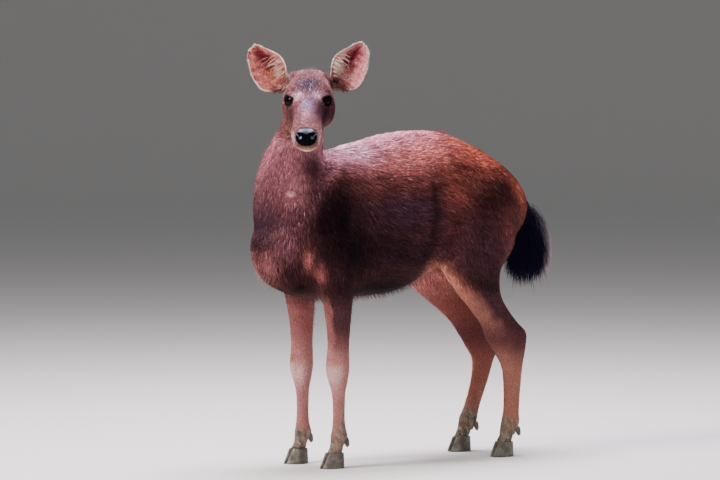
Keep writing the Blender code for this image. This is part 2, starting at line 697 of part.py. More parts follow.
def ear(name, side, head):
    """A thin cup: a grid along the ear and across it, hollowed forwards, with a back wall."""
    rows = spread(EAR, EAR_ROWS)
    lean = EAR_LEAN_LEFT if side > 0 else EAR_LEAN_RIGHT
    axis = HEAD_SIDE * side * lean[0] + UP * lean[1] + FACING * lean[2]
    axis /= np.linalg.norm(axis)
    opening = FACING + HEAD_SIDE * side * 0.16
    opening -= axis * np.dot(opening, axis)
    opening /= np.linalg.norm(opening)
    inner = UP - axis * np.dot(UP, axis)
    inner -= opening * np.dot(inner, opening)
    inner /= np.linalg.norm(inner)
    across = np.linspace(-1.0, 1.0, EAR_COLUMNS)[None, :]
    half = np.where(across < 0, rows[:, 1, None], rows[:, 2, None])
    depth = rows[:, 3, None] * (1.0 - across ** 2)
    wall = rows[:, 4, None] * (1.0 - 0.5 * across ** 4)
    root = head_world(np.array(EAR_ROOT) * (1.0, side, 1.0))
    base = (root + axis * (rows[:, 0] * EAR_LENGTH)[:, None, None]
            + inner * (half * across)[:, :, None])
    front = base - opening * depth[:, :, None]
    back = base - opening * (depth + wall)[:, :, None]
    count, columns = front.shape[:2]
    points = np.concatenate([front.reshape(-1, 3), back.reshape(-1, 3)])
    offset = count * columns
    faces = []
    for row in range(count - 1):
        for column in range(columns - 1):
            a = row * columns + column
            faces.append((a, a + 1, a + columns + 1, a + columns))
            faces.append((offset + a + columns, offset + a + columns + 1, offset + a + 1, offset + a))
    rim = [column for column in range(columns)]
    rim += [row * columns + columns - 1 for row in range(1, count)]
    rim += [(count - 1) * columns + column for column in range(columns - 2, -1, -1)]
    rim += [row * columns for row in range(count - 2, 0, -1)]
    for here, there in zip(rim, rim[1:] + rim[:1]):
        faces.append((here, there, offset + there, offset + here))
    made = new_object(name, points, faces)
    socket = swollen(head, GAP)
    combine(made, [socket], "DIFFERENCE")
    discard(socket)
    return made


def lock(name, root, out, along, length, width, draw):
    """A flat tapered lock of hair that leaves along one way and bends down to another."""
    bend = np.linspace(0.0, 1.0, 4)[:, None]
    heading = out * (1.0 - bend) ** 1.4 + along * (0.35 + bend)
    heading /= np.linalg.norm(heading, axis=1, keepdims=True)
    path = root + np.cumsum(heading * length / 3.0, axis=0) - heading[0] * length / 3.0
    across = np.cross(heading, out + 0.001)
    across /= np.linalg.norm(across, axis=1, keepdims=True)
    flat = np.cross(across, heading)
    taper = np.array((0.80, 1.0, 0.80, 0.14)) * width * draw
    thick = np.array((1.0, 1.0, 0.75, 0.25)) * LOCK_THICKNESS
    rings = np.stack([path + across * taper[:, None], path + flat * thick[:, None],
                      path - across * taper[:, None], path - flat * thick[:, None]], axis=1)
    return loft(name, rings)


def tail(hindquarters):
    """The dock and its hair: a core that reaches half way out, under tiers of locks."""
    across, depth = round_angles(10)
    rows = spread(TAIL, 14)
    zeros = np.zeros((len(rows), 1))
    along = np.gradient(rows[:, :2], axis=0)
    along /= np.linalg.norm(along, axis=1, keepdims=True)
    rings = np.stack([zeros + rows[:, 2, None] * across,
                      rows[:, 0, None] - along[:, 1, None] * rows[:, 3, None] * depth,
                      rows[:, 1, None] + along[:, 0, None] * rows[:, 3, None] * depth], axis=2)
    core = loft("tail", rings)
    draws = np.random.default_rng(LOCK_SEED)
    locks = []
    heights = rows[::-1, 1]
    for tier, (height, count) in enumerate(TAIL_TIERS):
        y = np.interp(height, heights, rows[::-1, 0])
        half_width = np.interp(height, heights, rows[::-1, 2])
        half_depth = np.interp(height, heights, rows[::-1, 3])
        for number in range(count):
            turn = 2.0 * math.pi * (number + 0.5 * (tier % 2) + draws.uniform(-0.12, 0.12)) / count
            out = np.array((math.cos(turn), math.sin(turn), 0.0))
            root = np.array((out[0] * half_width * 0.6, y + out[1] * half_depth * 0.6, height))
            length = LOCK_LENGTH * draws.uniform(0.88, 1.10)
            if out[1] < -0.3:
                length *= 0.85
            locks.append(lock("lock_%02d_%02d" % (tier, number), root, out * LOCK_SPREAD,
                              np.array((0.0, 0.04, -1.0)), length, LOCK_WIDTH,
                              draws.uniform(0.85, 1.1)))
    combine(core, locks, "UNION", "MANIFOLD")
    discard(*locks)
    rump = swollen(hindquarters, GAP)
    combine(core, [rump], "DIFFERENCE")
    discard(rump)
    return core


def finish_piece(piece, colour, home):
    """Give a piece its material and smooth shading, and put it in the animal's collection."""
    material = bpy.data.materials.new(piece.name + "_finish")
    material.use_nodes = True
    shader = material.node_tree.nodes["Principled BSDF"]
    shader.inputs["Base Color"].default_value = (colour[0], colour[1], colour[2], 1.0)
    shader.inputs["Roughness"].default_value = colour[3]
    piece.data.materials.clear()
    piece.data.materials.append(material)
    piece.data.shade_smooth()
    piece.data.set_sharp_from_angle(angle=math.radians(40))
    piece.location = CENTRE_SHIFT
    for old in list(piece.users_collection):
        old.objects.unlink(piece)
    home.objects.link(piece)


def build():
    """Make every piece of the animal and lay it on the floor round the origin."""
    clear_scene()
    animal = collection("sambar_hind")
    head, eyes, nose = head_parts()
    ears = [ear("ear_left", 1.0, head), ear("ear_right", -1.0, head)]
    neck, fore, barrel, hind = body_parts(head)
    pieces = [(head, COAT_BROWN), (nose, NOSE_BLACK), (neck, COAT_BROWN), (fore, COAT_DARK),
              (barrel, COAT_BROWN), (hind, COAT_RUST), (tail(hind), COAT_DARK)]
    pieces += [(eye, EYE_BLACK) for eye in eyes] + [(piece, EAR_PINK) for piece in ears]
    for which in STANCE:
        upper, cannon = leg_parts(which)
        pieces += [(upper, LEG_TAN), (cannon, LEG_TAN)]
        pieces += [(piece, HORN_GREY) for piece in feet(which, cannon)]
    for piece, colour in pieces:
        finish_piece(piece, colour, animal)
    for helper in ("guides", "boolean_tools"):
        bpy.data.collections.remove(collection(helper))


build()
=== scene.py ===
"""The looks of a young sambar hind that stands as a life-size museum model.

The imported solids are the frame. One skin takes the place of the flesh nodes and lies
under them by the depth of the coat. Tufts of hair that follow the lie of the coat cover
it. The eyes, nose pad, hooves and dewclaws are finer pieces of their own.
The animal faces -Y, its left side is +X, and lengths are in metres.
"""
import math
from collections import namedtuple

import bpy
import numpy as np
from bpy.props import FloatProperty, FloatVectorProperty, IntProperty, PointerProperty
from mathutils import Matrix, Vector


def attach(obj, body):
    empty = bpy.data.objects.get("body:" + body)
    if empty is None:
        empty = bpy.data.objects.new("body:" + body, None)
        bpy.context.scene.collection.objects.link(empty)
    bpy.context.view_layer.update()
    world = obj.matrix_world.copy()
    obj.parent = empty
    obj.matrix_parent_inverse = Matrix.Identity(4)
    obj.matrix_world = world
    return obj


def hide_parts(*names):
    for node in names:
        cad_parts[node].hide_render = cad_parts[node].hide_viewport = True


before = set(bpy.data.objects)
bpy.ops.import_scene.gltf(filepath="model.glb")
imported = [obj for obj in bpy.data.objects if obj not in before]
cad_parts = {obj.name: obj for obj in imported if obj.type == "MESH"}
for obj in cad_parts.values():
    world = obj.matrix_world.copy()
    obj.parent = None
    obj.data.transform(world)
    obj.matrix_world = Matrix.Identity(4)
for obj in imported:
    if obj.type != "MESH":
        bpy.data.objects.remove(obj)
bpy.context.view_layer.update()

bl_info = {
    "name": "Sambar hind",
    "version": (1, 0, 0),
    "blender": (4, 5, 0),
    "location": "3D View > Sidebar > Sambar",
    "description": "Skin, coat, tail, eyes, nose and hooves of a young sambar hind",
    "category": "Add Mesh",
}

# The animal's own sizes, the same as in the part's source
SHIFT = np.array((-0.028, -0.008, 0.0))
TRUNK = (
    (-0.484, 0.636, 0.560, 0.028),
    (-0.463, 0.692, 0.522, 0.064),
    (-0.424, 0.747, 0.490, 0.092),
    (-0.370, 0.800, 0.470, 0.106),
    (-0.310, 0.845, 0.460, 0.114),
    (-0.250, 0.868, 0.456, 0.120),
    (-0.170, 0.884, 0.457, 0.128),
    (-0.090, 0.901, 0.461, 0.137),
    (-0.030, 0.909, 0.472, 0.141),
    (0.030, 0.913, 0.498, 0.141),
    (0.090, 0.911, 0.526, 0.138),
    (0.150, 0.900, 0.550, 0.132),
    (0.220, 0.873, 0.562, 0.126),
    (0.285, 0.842, 0.573, 0.117),
    (0.342, 0.806, 0.592, 0.098),
    (0.386, 0.764, 0.628, 0.061),
    (0.405, 0.730, 0.668, 0.031),
)
# Share by which the crest of the back is narrower, and the widest place of a section from below
TRUNK_CREST = 0.30
TRUNK_MIDDLE = 0.48
NECK = (
    (0.000, -0.300, 0.585, 0.104, 0.140, 0),
    (0.000, -0.335, 0.640, 0.104, 0.142, 0),
    (0.000, -0.366, 0.710, 0.092, 0.122, 3),
    (0.001, -0.376, 0.780, 0.083, 0.107, 12),
    (0.003, -0.367, 0.845, 0.073, 0.093, 24),
    (0.010, -0.351, 0.905, 0.066, 0.080, 36),
    (0.015, -0.337, 0.965, 0.061, 0.072, 46),
    (0.015, -0.330, 1.020, 0.053, 0.064, 51),
    (0.010, -0.327, 1.060, 0.036, 0.044, 51),
)
FORELEG = (
    (0.052, -0.225, 0.835, 0.026, 0.034),
    (0.074, -0.250, 0.785, 0.040, 0.068),
    (0.086, -0.292, 0.710, 0.047, 0.088),
    (0.090, -0.322, 0.635, 0.048, 0.088),
    (0.090, -0.306, 0.565, 0.045, 0.080),
    (0.087, -0.286, 0.505, 0.039, 0.062),
    (0.085, -0.279, 0.455, 0.033, 0.047),
    (0.084, -0.276, 0.400, 0.029, 0.037),
    (0.083, -0.275, 0.340, 0.026, 0.032),
    (0.082, -0.276, 0.300, 0.028, 0.033),
    (0.082, -0.277, 0.270, 0.029, 0.034),
    (0.082, -0.276, 0.240, 0.024, 0.029),
    (0.082, -0.274, 0.205, 0.017, 0.021),
    (0.082, -0.273, 0.155, 0.0148, 0.0178),
    (0.082, -0.273, 0.115, 0.0165, 0.0195),
    (0.082, -0.272, 0.088, 0.0205, 0.0245),
    (0.082, -0.279, 0.063, 0.0180, 0.0200),
    (0.082, -0.288, 0.040, 0.0200, 0.0225),
)
HINDLEG = (
    (0.048, 0.205, 0.835, 0.032, 0.050),
    (0.072, 0.200, 0.785, 0.049, 0.105),
    (0.086, 0.195, 0.720, 0.056, 0.138),
    (0.095, 0.180, 0.650, 0.057, 0.145),
    (0.100, 0.168, 0.585, 0.055, 0.136),
    (0.100, 0.162, 0.525, 0.049, 0.100),
    (0.098, 0.188, 0.465, 0.038, 0.074),
    (0.096, 0.217, 0.425, 0.032, 0.063),
    (0.095, 0.256, 0.380, 0.028, 0.062),
    (0.094, 0.280, 0.352, 0.027, 0.070),
    (0.094, 0.288, 0.333, 0.026, 0.070),
    (0.094, 0.298, 0.300, 0.0255, 0.056),
    (0.094, 0.309, 0.250, 0.0205, 0.035),
    (0.094, 0.309, 0.185, 0.0175, 0.0275),
    (0.094, 0.306, 0.125, 0.0175, 0.0260),
    (0.094, 0.302, 0.090, 0.0210, 0.0290),
    (0.094, 0.291, 0.063, 0.0185, 0.0220),
    (0.094, 0.281, 0.040, 0.0200, 0.0235),
)
STANCE = {
    "fore_left": ((0.0, 0.0), (1.0, 0.0)),
    "fore_right": ((0.0, -0.006), (0.50, -0.006), (0.62, 0.0), (1.0, 0.0)),
    "hind_left": ((0.0, 0.0), (1.0, 0.0)),
    "hind_right": ((0.0, -0.010), (0.10, -0.004), (0.20, 0.028), (0.27, 0.044),
                   (0.33, 0.046), (0.40, 0.022), (0.47, -0.008), (0.55, -0.014), (0.70, 0.0)),
}
CORONET = 0.0420
NECK_BASE = (np.array((0.0, -0.290, 0.860)), np.array((0.0, -0.80, 0.60)))

HEAD_ORIGIN = np.array((-0.001, -0.311, 1.052))
HEAD_TURN = math.radians(53.0)
HEAD_PITCH = math.radians(30.0)
FACING = np.array((math.sin(HEAD_TURN), -math.cos(HEAD_TURN), 0.0))
HEAD_SIDE = np.array((math.cos(HEAD_TURN), math.sin(HEAD_TURN), 0.0))
UP = np.array((0.0, 0.0, 1.0))
HEAD_AXIS = FACING * math.cos(HEAD_PITCH) - UP * math.sin(HEAD_PITCH)
HEAD_UP = FACING * math.sin(HEAD_PITCH) + UP * math.cos(HEAD_PITCH)
HEAD = (
    (-0.020, 0.004, -0.030, 0.014, 0.80),
    (-0.012, 0.022, -0.052, 0.038, 0.70),
    (0.006, 0.035, -0.070, 0.052, 0.78),
    (0.035, 0.045, -0.084, 0.058, 0.78),
    (0.065, 0.053, -0.091, 0.062, 0.77),
    (0.095, 0.056, -0.090, 0.065, 0.80),
    (0.120, 0.050, -0.084, 0.063, 0.95),
    (0.145, 0.043, -0.077, 0.052, 1.20),
    (0.175, 0.036, -0.070, 0.044, 1.40),
    (0.205, 0.031, -0.065, 0.040, 1.45),
    (0.235, 0.028, -0.064, 0.040, 1.30),
    (0.258, 0.024, -0.062, 0.041, 1.05),
    (0.275, 0.016, -0.055, 0.036, 0.90),
    (0.287, 0.004, -0.040, 0.024, 0.86),
    (0.291, -0.006, -0.024, 0.010, 0.86),
)
# Powers of the head's outlines, and the widest place of a section from below
LOWER_POWER = 0.86
HEIGHT_POWER = 0.92
HEAD_MIDDLE = 0.55
# Swellings and hollows of the head: along, side, up, reach, height out of the surface
HEAD_FORMS = (
    (0.104, 0.048, 0.036, 0.020, 0.0060),
    (0.156, 0.042, -0.004, 0.012, -0.0040),
    (0.108, 0.062, -0.014, 0.020, 0.0045),
    (0.078, 0.058, -0.048, 0.030, 0.0050),
    (0.114, 0.052, -0.052, 0.030, 0.0080),
    (0.180, 0.040, -0.012, 0.024, -0.0040),
    (0.020, 0.042, 0.030, 0.022, 0.0030),
    (0.266, 0.030, -0.002, 0.014, 0.0045),
    (0.240, 0.036, -0.034, 0.018, 0.0030),
    (0.262, 0.000, -0.058, 0.016, 0.0030),
    (0.195, 0.000, 0.034, 0.030, 0.0020),
)
EYE_PLACE = (0.126, 0.0405, 0.012)
EYE_RADIUS = 0.0195
# Gap to the socket, height and reach of the cornea, iris, and the pupil's half length and height
EYE_GAP = 0.0004
CORNEA_RISE = 0.0011
CORNEA_REACH = 0.0085
IRIS_RADIUS = 0.0119
PUPIL_SIZE = (0.0072, 0.0052)
# The way an eye looks: along the head, to its side and up
EYE_LOOK = (0.58, 0.76, 0.24)
# Half length and half height of the dark rim round an eye
EYE_RIM_SIZE = (0.0208, 0.0132)
LID_THICKNESS = 0.0030
LID_OPENING = (0.0130, 0.0178, 0.0130)
LID_OPENING_OUT = 0.0205
LID_SLANT = -0.28
NOSE_PLACE = (0.290, 0.0, -0.006)
NOSE_SIZE = (0.024, 0.031, 0.026)
NOSTRIL_PLACE = (0.288, 0.0165, -0.003)
NOSTRIL_SIZE = (0.011, 0.0050, 0.0062)
NOSTRIL_SLIT_SIZE = (0.009, 0.0075, 0.0018)
NOSE_CELL = 0.0009
MOUTH_LINE = ((0.208, -0.038), (0.230, -0.0435), (0.252, -0.0440), (0.272, -0.0405), (0.284, -0.0375))
MOUTH_DEPTH = 0.0050
MOUTH_OUT = 0.0014
MOUTH_HALF_HEIGHT = 0.0014
EAR = (
    (0.00, 0.012, 0.006, 0.004, 0.0120),
    (0.06, 0.026, 0.006, 0.014, 0.0100),
    (0.12, 0.044, 0.009, 0.022, 0.0075),
    (0.21, 0.058, 0.017, 0.029, 0.0058),
    (0.34, 0.066, 0.030, 0.031, 0.0045),
    (0.50, 0.0635, 0.036, 0.026, 0.0040),
    (0.66, 0.057, 0.031, 0.019, 0.0035),
    (0.82, 0.043, 0.021, 0.011, 0.0030),
    (0.93, 0.033, 0.015, 0.006, 0.0028),
    (1.00, 0.019, 0.008, 0.003, 0.0025),
)
EAR_LENGTH = 0.142
EAR_ROOT = (0.026, 0.054, 0.000)
EAR_LEAN_LEFT = (0.62, 0.79, -0.05)
EAR_LEAN_RIGHT = (0.68, 0.73, -0.05)
TAIL = (
    (0.372, 0.724, 0.020, 0.022),
    (0.402, 0.708, 0.025, 0.026),
    (0.424, 0.674, 0.026, 0.027),
    (0.436, 0.640, 0.029, 0.030),
    (0.442, 0.608, 0.029, 0.030),
    (0.441, 0.576, 0.025, 0.026),
    (0.438, 0.552, 0.015, 0.016),
    (0.437, 0.543, 0.005, 0.005),
)
HOOF_TOP_LENGTH = 0.046
HOOF_SOLE_LENGTH = 0.068
HOOF_TOP_WIDTH = 0.0205
HOOF_SOLE_WIDTH = 0.0235
HOOF_CLEFT = 0.0016
HOOF_TOE_OUT = 0.010
DEWCLAW_HEIGHT = 0.074
DEWCLAW_LENGTH = 0.018
DEWCLAW_RADIUS = 0.0085
# The tail's brush: number and width of its hairs, and the ellipsoid that its tips fill
TAIL_HAIRS = 7600
TAIL_HAIR_WIDTH = 0.0018
TAIL_BRUSH_MIDDLE = np.array((0.0, 0.436, 0.564))
TAIL_BRUSH_RADII = np.array((0.052, 0.064, 0.088))
# Its dark core, as a share of the tail's own thickness
TAIL_CORE = 0.80

# The coat by place on the left half: x, y, z, the way the hair lies (x, y, z),
# its length, width and lift in millimetres
COAT_GUIDES = (
    (0.00, -0.25, 0.90, 0.0, 1.0, -0.10, 27, 1.9, 8.0),
    (0.00, 0.05, 0.93, 0.0, 1.0, 0.00, 25, 1.9, 7.5),
    (0.00, 0.25, 0.88, 0.0, 0.9, -0.45, 25, 1.9, 7.5),
    (0.02, 0.40, 0.76, 0.0, 0.35, -0.95, 24, 1.9, 7.5),
    (0.14, -0.12, 0.76, 0.0, 0.90, -0.40, 24, 1.9, 6.5),
    (0.14, 0.02, 0.76, 0.0, 0.95, -0.25, 24, 1.9, 6.5),
    (0.14, -0.05, 0.60, 0.0, 0.95, -0.25, 26, 1.9, 6.5),
    (0.14, 0.15, 0.78, 0.0, 0.60, -0.80, 22, 1.8, 6.0),
    (0.14, 0.20, 0.65, 0.0, 0.45, -0.90, 20, 1.8, 5.5),
    (0.12, 0.32, 0.68, 0.0, 0.30, -0.95, 20, 1.8, 5.5),
    (0.13, 0.15, 0.52, 0.0, 0.35, -0.95, 16, 1.7, 4.5),
    (0.02, 0.16, 0.56, 0.0, 0.10, -1.00, 14, 1.7, 4.0),
    (0.12, -0.28, 0.70, 0.0, 0.35, -0.95, 22, 1.9, 6.0),
    (0.12, -0.30, 0.56, 0.0, 0.20, -1.00, 19, 1.8, 5.0),
    (0.00, -0.48, 0.62, 0.0, -0.05, -1.00, 24, 1.9, 6.5),
    (0.00, -0.42, 0.50, 0.0, 0.30, -0.95, 26, 1.9, 7.5),
    (0.00, -0.44, 0.78, 0.0, -0.10, -1.00, 25, 1.9, 6.5),
    (0.00, -0.27, 0.80, 0.0, 0.60, -0.80, 25, 1.9, 7.0),
    (0.05, -0.40, 0.90, 0.0, -0.05, -1.00, 22, 1.8, 6.0),
    (0.00, -0.28, 0.98, 0.0, 0.35, -0.95, 23, 1.8, 6.5),
    (0.00, -0.10, 0.47, 0.0, 0.90, -0.45, 26, 1.9, 7.0),
    (0.00, 0.10, 0.53, 0.0, 0.80, -0.50, 22, 1.8, 6.0),
    (0.09, -0.28, 0.42, 0.0, 0.10, -1.00, 12, 1.5, 1.7),
    (0.09, -0.28, 0.30, 0.0, 0.05, -1.00, 10, 1.4, 1.4),
    (0.09, -0.28, 0.18, 0.0, 0.05, -1.00, 9, 1.3, 1.2),
    (0.09, -0.28, 0.06, 0.0, -0.10, -1.00, 11, 1.4, 1.8),
    (0.10, 0.22, 0.42, 0.0, 0.45, -0.90, 12, 1.5, 2.0),
    (0.10, 0.30, 0.32, 0.0, 0.15, -1.00, 10, 1.4, 1.5),
    (0.10, 0.31, 0.18, 0.0, 0.00, -1.00, 9, 1.3, 1.2),
    (0.10, 0.30, 0.06, 0.0, -0.15, -1.00, 11, 1.4, 1.8),
)
GUIDE_REACH = 0.085
# Length, width and lift of the hair of the face and of the ears
FACE_HAIR = (0.0085, 0.0013, 0.0022)
EAR_HAIR_SIZE = (0.0075, 0.0013, 0.0010)
# The bare spot of the throat, its reach, and the reach of the whorl of hair round it
SORE_SPOT = np.array((0.073, -0.424, 0.750))
SORE_REACH = 0.0064
SORE_WHORL = 0.022

# Markings of the body on the left half, with painted light and shade among them: x, y, z, reach in x, y and
# z, colour, strength
MARKS_AND_PAINTED_LIGHT = (
    # Partly the coat's own pink-red, partly painted highlight along the back and the top of the flank
    (0.03, -0.12, 0.92, 0.17, 0.28, 0.075, "#ec9cb0", 0.97),
    (0.10, -0.08, 0.840, 0.08, 0.16, 0.045, "#e88a80", 0.94),
    (0.03, 0.21, 0.87, 0.16, 0.16, 0.080, "#cc6a50", 0.95),
    (0.13, -0.10, 0.765, 0.06, 0.18, 0.030, "#84483e", 0.70),
    # Painted highlight: the pale top of the withers
    (0.05, -0.225, 0.858, 0.08, 0.09, 0.034, "#fcb8ca", 0.95),
    # The flank darker towards the belly: partly its own colour, partly painted shade
    (0.13, -0.10, 0.70, 0.07, 0.16, 0.06, "#4a3040", 0.88),
    (0.13, -0.10, 0.58, 0.10, 0.22, 0.09, "#1e1018", 0.92),
    # Painted shade: the dark of the shoulder between the foreleg and the neck
    (0.13, -0.30, 0.69, 0.06, 0.068, 0.14, "#050208", 0.98),
    (0.13, -0.24, 0.60, 0.07, 0.07, 0.10, "#08040a", 0.95),
    # Painted shade: the dark front of the hip
    (0.11, 0.11, 0.812, 0.05, 0.07, 0.026, "#522420", 0.72),
    (0.14, 0.20, 0.69, 0.07, 0.09, 0.09, "#34181c", 0.90),
    (0.13, 0.25, 0.745, 0.06, 0.06, 0.05, "#240e14", 0.85),
    (0.15, 0.16, 0.59, 0.07, 0.11, 0.09, "#462c34", 0.92),
    (0.13, 0.072, 0.75, 0.06, 0.045, 0.050, "#8c4a3e", 0.85),
    (0.14, 0.062, 0.66, 0.05, 0.030, 0.05, "#562a28", 0.70),
    # Painted shade: the crease between the flank and the thigh
    (0.13, -0.004, 0.72, 0.05, 0.014, 0.11, "#1a0c12", 0.70),
    (0.14, 0.250, 0.64, 0.06, 0.035, 0.09, "#6a3a38", 0.70),
    (0.06, 0.40, 0.70, 0.08, 0.045, 0.13, "#7c3c2e", 0.85),
    (0.00, 0.42, 0.78, 0.10, 0.06, 0.06, "#a04c30", 0.85),
    (0.14, 0.21, 0.48, 0.05, 0.10, 0.08, "#26161c", 0.90),
    # Partly the rump's own orange, partly painted rim light along its rear edge
    (0.085, 0.325, 0.765, 0.035, 0.035, 0.05, "#b05c44", 0.75),
    # The belly: partly its own near-black hair, partly painted shade underneath
    (0.00, -0.10, 0.455, 0.16, 0.22, 0.055, "#040203", 0.98),
    (0.08, -0.13, 0.485, 0.08, 0.16, 0.032, "#040206", 0.96),
    (0.00, -0.47, 0.68, 0.13, 0.08, 0.10, "#2e202a", 0.92),
    (0.00, -0.42, 0.84, 0.11, 0.10, 0.10, "#a66a76", 0.85),
    # Painted shade on the brisket, between the forelegs
    (0.07, -0.43, 0.55, 0.05, 0.05, 0.035, "#1a0c14", 0.92),
    (0.045, -0.385, 0.500, 0.055, 0.050, 0.042, "#12090f", 0.92),
    (0.08, -0.445, 0.63, 0.03, 0.03, 0.05, "#96606a", 0.72),
    (0.035, -0.475, 0.565, 0.03, 0.03, 0.035, "#a86a6c", 0.80),
    (0.08, -0.40, 0.79, 0.04, 0.04, 0.06, "#b0747a", 0.85),
    # Painted shadow of the head, down the side of the neck into the shoulder
    (0.085, -0.350, 0.835, 0.045, 0.050, 0.040, "#2c1820", 0.90),
    (0.118, -0.335, 0.78, 0.034, 0.038, 0.10, "#180b13", 0.93),
    (0.115, -0.350, 0.66, 0.032, 0.034, 0.09, "#140910", 0.92),
    (0.092, -0.358, 0.79, 0.024, 0.026, 0.05, "#2a141c", 0.90),
    # Partly painted light: the lit front edge of the upper arm
    (0.10, -0.39, 0.575, 0.013, 0.013, 0.032, "#b87068", 0.75),
    (0.108, -0.355, 0.535, 0.015, 0.015, 0.032, "#b06a64", 0.85),
    (0.13, -0.29, 0.49, 0.04, 0.05, 0.06, "#2c1820", 0.88),
)
# Markings of the head, with painted light and shade among them: along, side, up, reach along, sideways and
# up, colour, strength
HEAD_MARKS_AND_PAINTED_LIGHT = (
    # Partly the jaw's own brown, partly painted shade on it
    (0.070, 0.060, -0.030, 0.050, 0.030, 0.040, "#744844", 0.85),
    # The sides of the muzzle: partly their own brown, partly painted shade
    (0.195, 0.044, -0.012, 0.060, 0.026, 0.038, "#5c383c", 0.93),
    (0.205, 0.033, 0.014, 0.050, 0.0135, 0.026, "#6a444a", 0.85),
    # Painted sheen: the pale lilac along the top of the bridge
    (0.190, 0.000, 0.038, 0.026, 0.015, 0.020, "#8c7ca2", 0.90),
    # Partly the bridge's own pale pink, partly painted highlight
    (0.228, 0.000, 0.032, 0.018, 0.011, 0.014, "#bc868e", 0.85),
    (0.148, 0.029, 0.042, 0.012, 0.015, 0.016, "#f8c8dc", 0.86),
    (0.060, 0.050, 0.040, 0.034, 0.014, 0.024, "#94605e", 0.85),
    (0.020, 0.000, 0.044, 0.018, 0.042, 0.026, "#b08488", 0.85),
    (0.116, 0.000, 0.054, 0.034, 0.036, 0.026, "#241c2a", 0.98),
    (0.078, 0.064, 0.010, 0.030, 0.014, 0.026, "#4a2c2e", 0.80),
    # Partly the cheek's own dark under the eye, partly painted shade
    (0.160, 0.044, -0.012, 0.030, 0.014, 0.018, "#442a2c", 0.85),
    (0.200, 0.044, -0.034, 0.040, 0.014, 0.014, "#5a3436", 0.55),
    (0.250, 0.000, 0.028, 0.014, 0.024, 0.010, "#6c4c50", 0.75),
    (0.276, 0.033, -0.014, 0.006, 0.007, 0.017, "#dcc4bc", 0.90),
    (0.272, 0.000, -0.052, 0.019, 0.032, 0.013, "#f8d4ae", 1.00),
    (0.150, 0.000, -0.085, 0.070, 0.050, 0.016, "#5a3434", 0.85),
    (0.020, 0.066, -0.012, 0.020, 0.012, 0.020, "#dcb4a0", 0.75),
)
# Painted shade: the left side of the face is painted darker than the right one, as it is turned from the
# light
LEFT_FACE_PAINTED_SHADE = (
    (0.160, 0.044, -0.012, 0.030, 0.014, 0.018, "#160b10", 0.85),
    (0.185, 0.030, 0.012, 0.055, 0.016, 0.034, "#3c222c", 0.85),
    (0.110, 0.066, -0.020, 0.070, 0.020, 0.050, "#3c222c", 0.85),
)
# Small tufts of longer hair: x, y, z, reach, number of hairs, the way they leave the skin,
# the way their ends hang, length in millimetres, colour
SMALL_TUFTS = (
    (0.038, -0.340, 1.074, 0.016, 80, 0.0, -0.2, 1.0, -0.3, 0.3, 0.8, 12, "#8c6c76"),
    (0.071, -0.296, 1.076, 0.012, 90, 0.45, 0.60, 0.60, 0.5, 0.7, 0.1, 13, "#94686a"),
    (0.005, -0.384, 1.076, 0.012, 90, -0.35, -0.50, 0.80, -0.45, -0.60, 0.2, 13, "#a87a78"),
    (0.000, 0.128, 0.908, 0.012, 70, 0.0, 0.3, 0.95, 0.0, 0.9, 0.3, 19, "#8a5048"),
    (-0.050, -0.410, 0.865, 0.030, 110, -0.55, -0.75, -0.2, -0.25, -0.35, -0.9, 24, "#9a6a6c"),
    (-0.020, -0.460, 0.515, 0.030, 110, -0.3, -0.6, -0.7, -0.1, -0.3, -1.0, 22, "#b08478"),
    (0.055, -0.270, 1.017, 0.012, 70, 0.6, 0.3, -0.5, 0.3, 0.1, -0.9, 17, "#e4c0b0"),
    (-0.024, -0.376, 1.017, 0.012, 70, -0.3, -0.8, -0.4, -0.1, -0.3, -0.9, 17, "#e4c0b0"),
    (-0.084, -0.232, 0.420, 0.045, 160, 0.3, 0.8, -0.5, 0.1, 0.4, -1.0, 12, "#c8a094"),
    (0.086, -0.226, 0.440, 0.045, 120, 0.0, 0.8, -0.5, 0.0, 0.4, -1.0, 12, "#5a3c40"),
)
EYE_RIM = "#0b0709"
HAIR_BASE = "#5c3634"
FACE_BASE = "#704846"
GRIZZLE = "#98889c"
LEG_TAN = "#c08480"
LEG_HIGH = "#965c58"
HIND_TAN = "#b07866"
# Dark of the legs' outer sides: partly their own hair, partly painted shade
LEG_SHADE = "#38242c"
THIGH_TAN = "#d88a72"
# Painted shade: the far thigh's pale strip, darker than the near one
FAR_THIGH_PAINTED_SHADE = "#b8746c"
HIND_RED = "#8c4e44"
HOCK_BROWN = "#5a3438"
KNEE_PALE = "#ecc0ba"
KNEE_ORANGE = "#bc6a48"
MUD = "#a2a28e"
EAR_INSIDE = "#b66c68"
# The deep red of the ear's hollow: partly its own colour, partly painted shade
EAR_DEEP = "#581a20"
EAR_TAN = "#9c6846"
EAR_RIM = "#fae0c8"
EAR_BACK = "#6c443e"
EAR_HAIR = "#f4dccc"
# Painted light in the left ear, as if the sun came through it: how much more red, green and blue its inside
# is painted
LEFT_EAR_PAINTED_LIGHT = (1.1, 1.4, 1.7)
FRINGE_TIP = "#40302e"
LASH = "#0a0706"
CHIN_HAIR = "#8c7468"
TAIL_BLACK = "#100c26"
TAIL_TOP = "#2a1c26"
TAIL_HALO = "#c8b4b8"
SORE_PINK = "#ffb4b6"
SORE_DARK = "#581a20"
NOSE_BLACK = "#020203"
NOSE_BEAD = "#08070a"
# Painted reflection: the paler grey-blue of the nose pad where it faces up
NOSE_PAINTED_REFLECTION = "#8088a0"
EYEBALL = "#140b09"
IRIS = "#0e0604"
PUPIL = "#030204"
HORN_DARK = "#1f1a18"
HORN_PALE = "#4a403a"

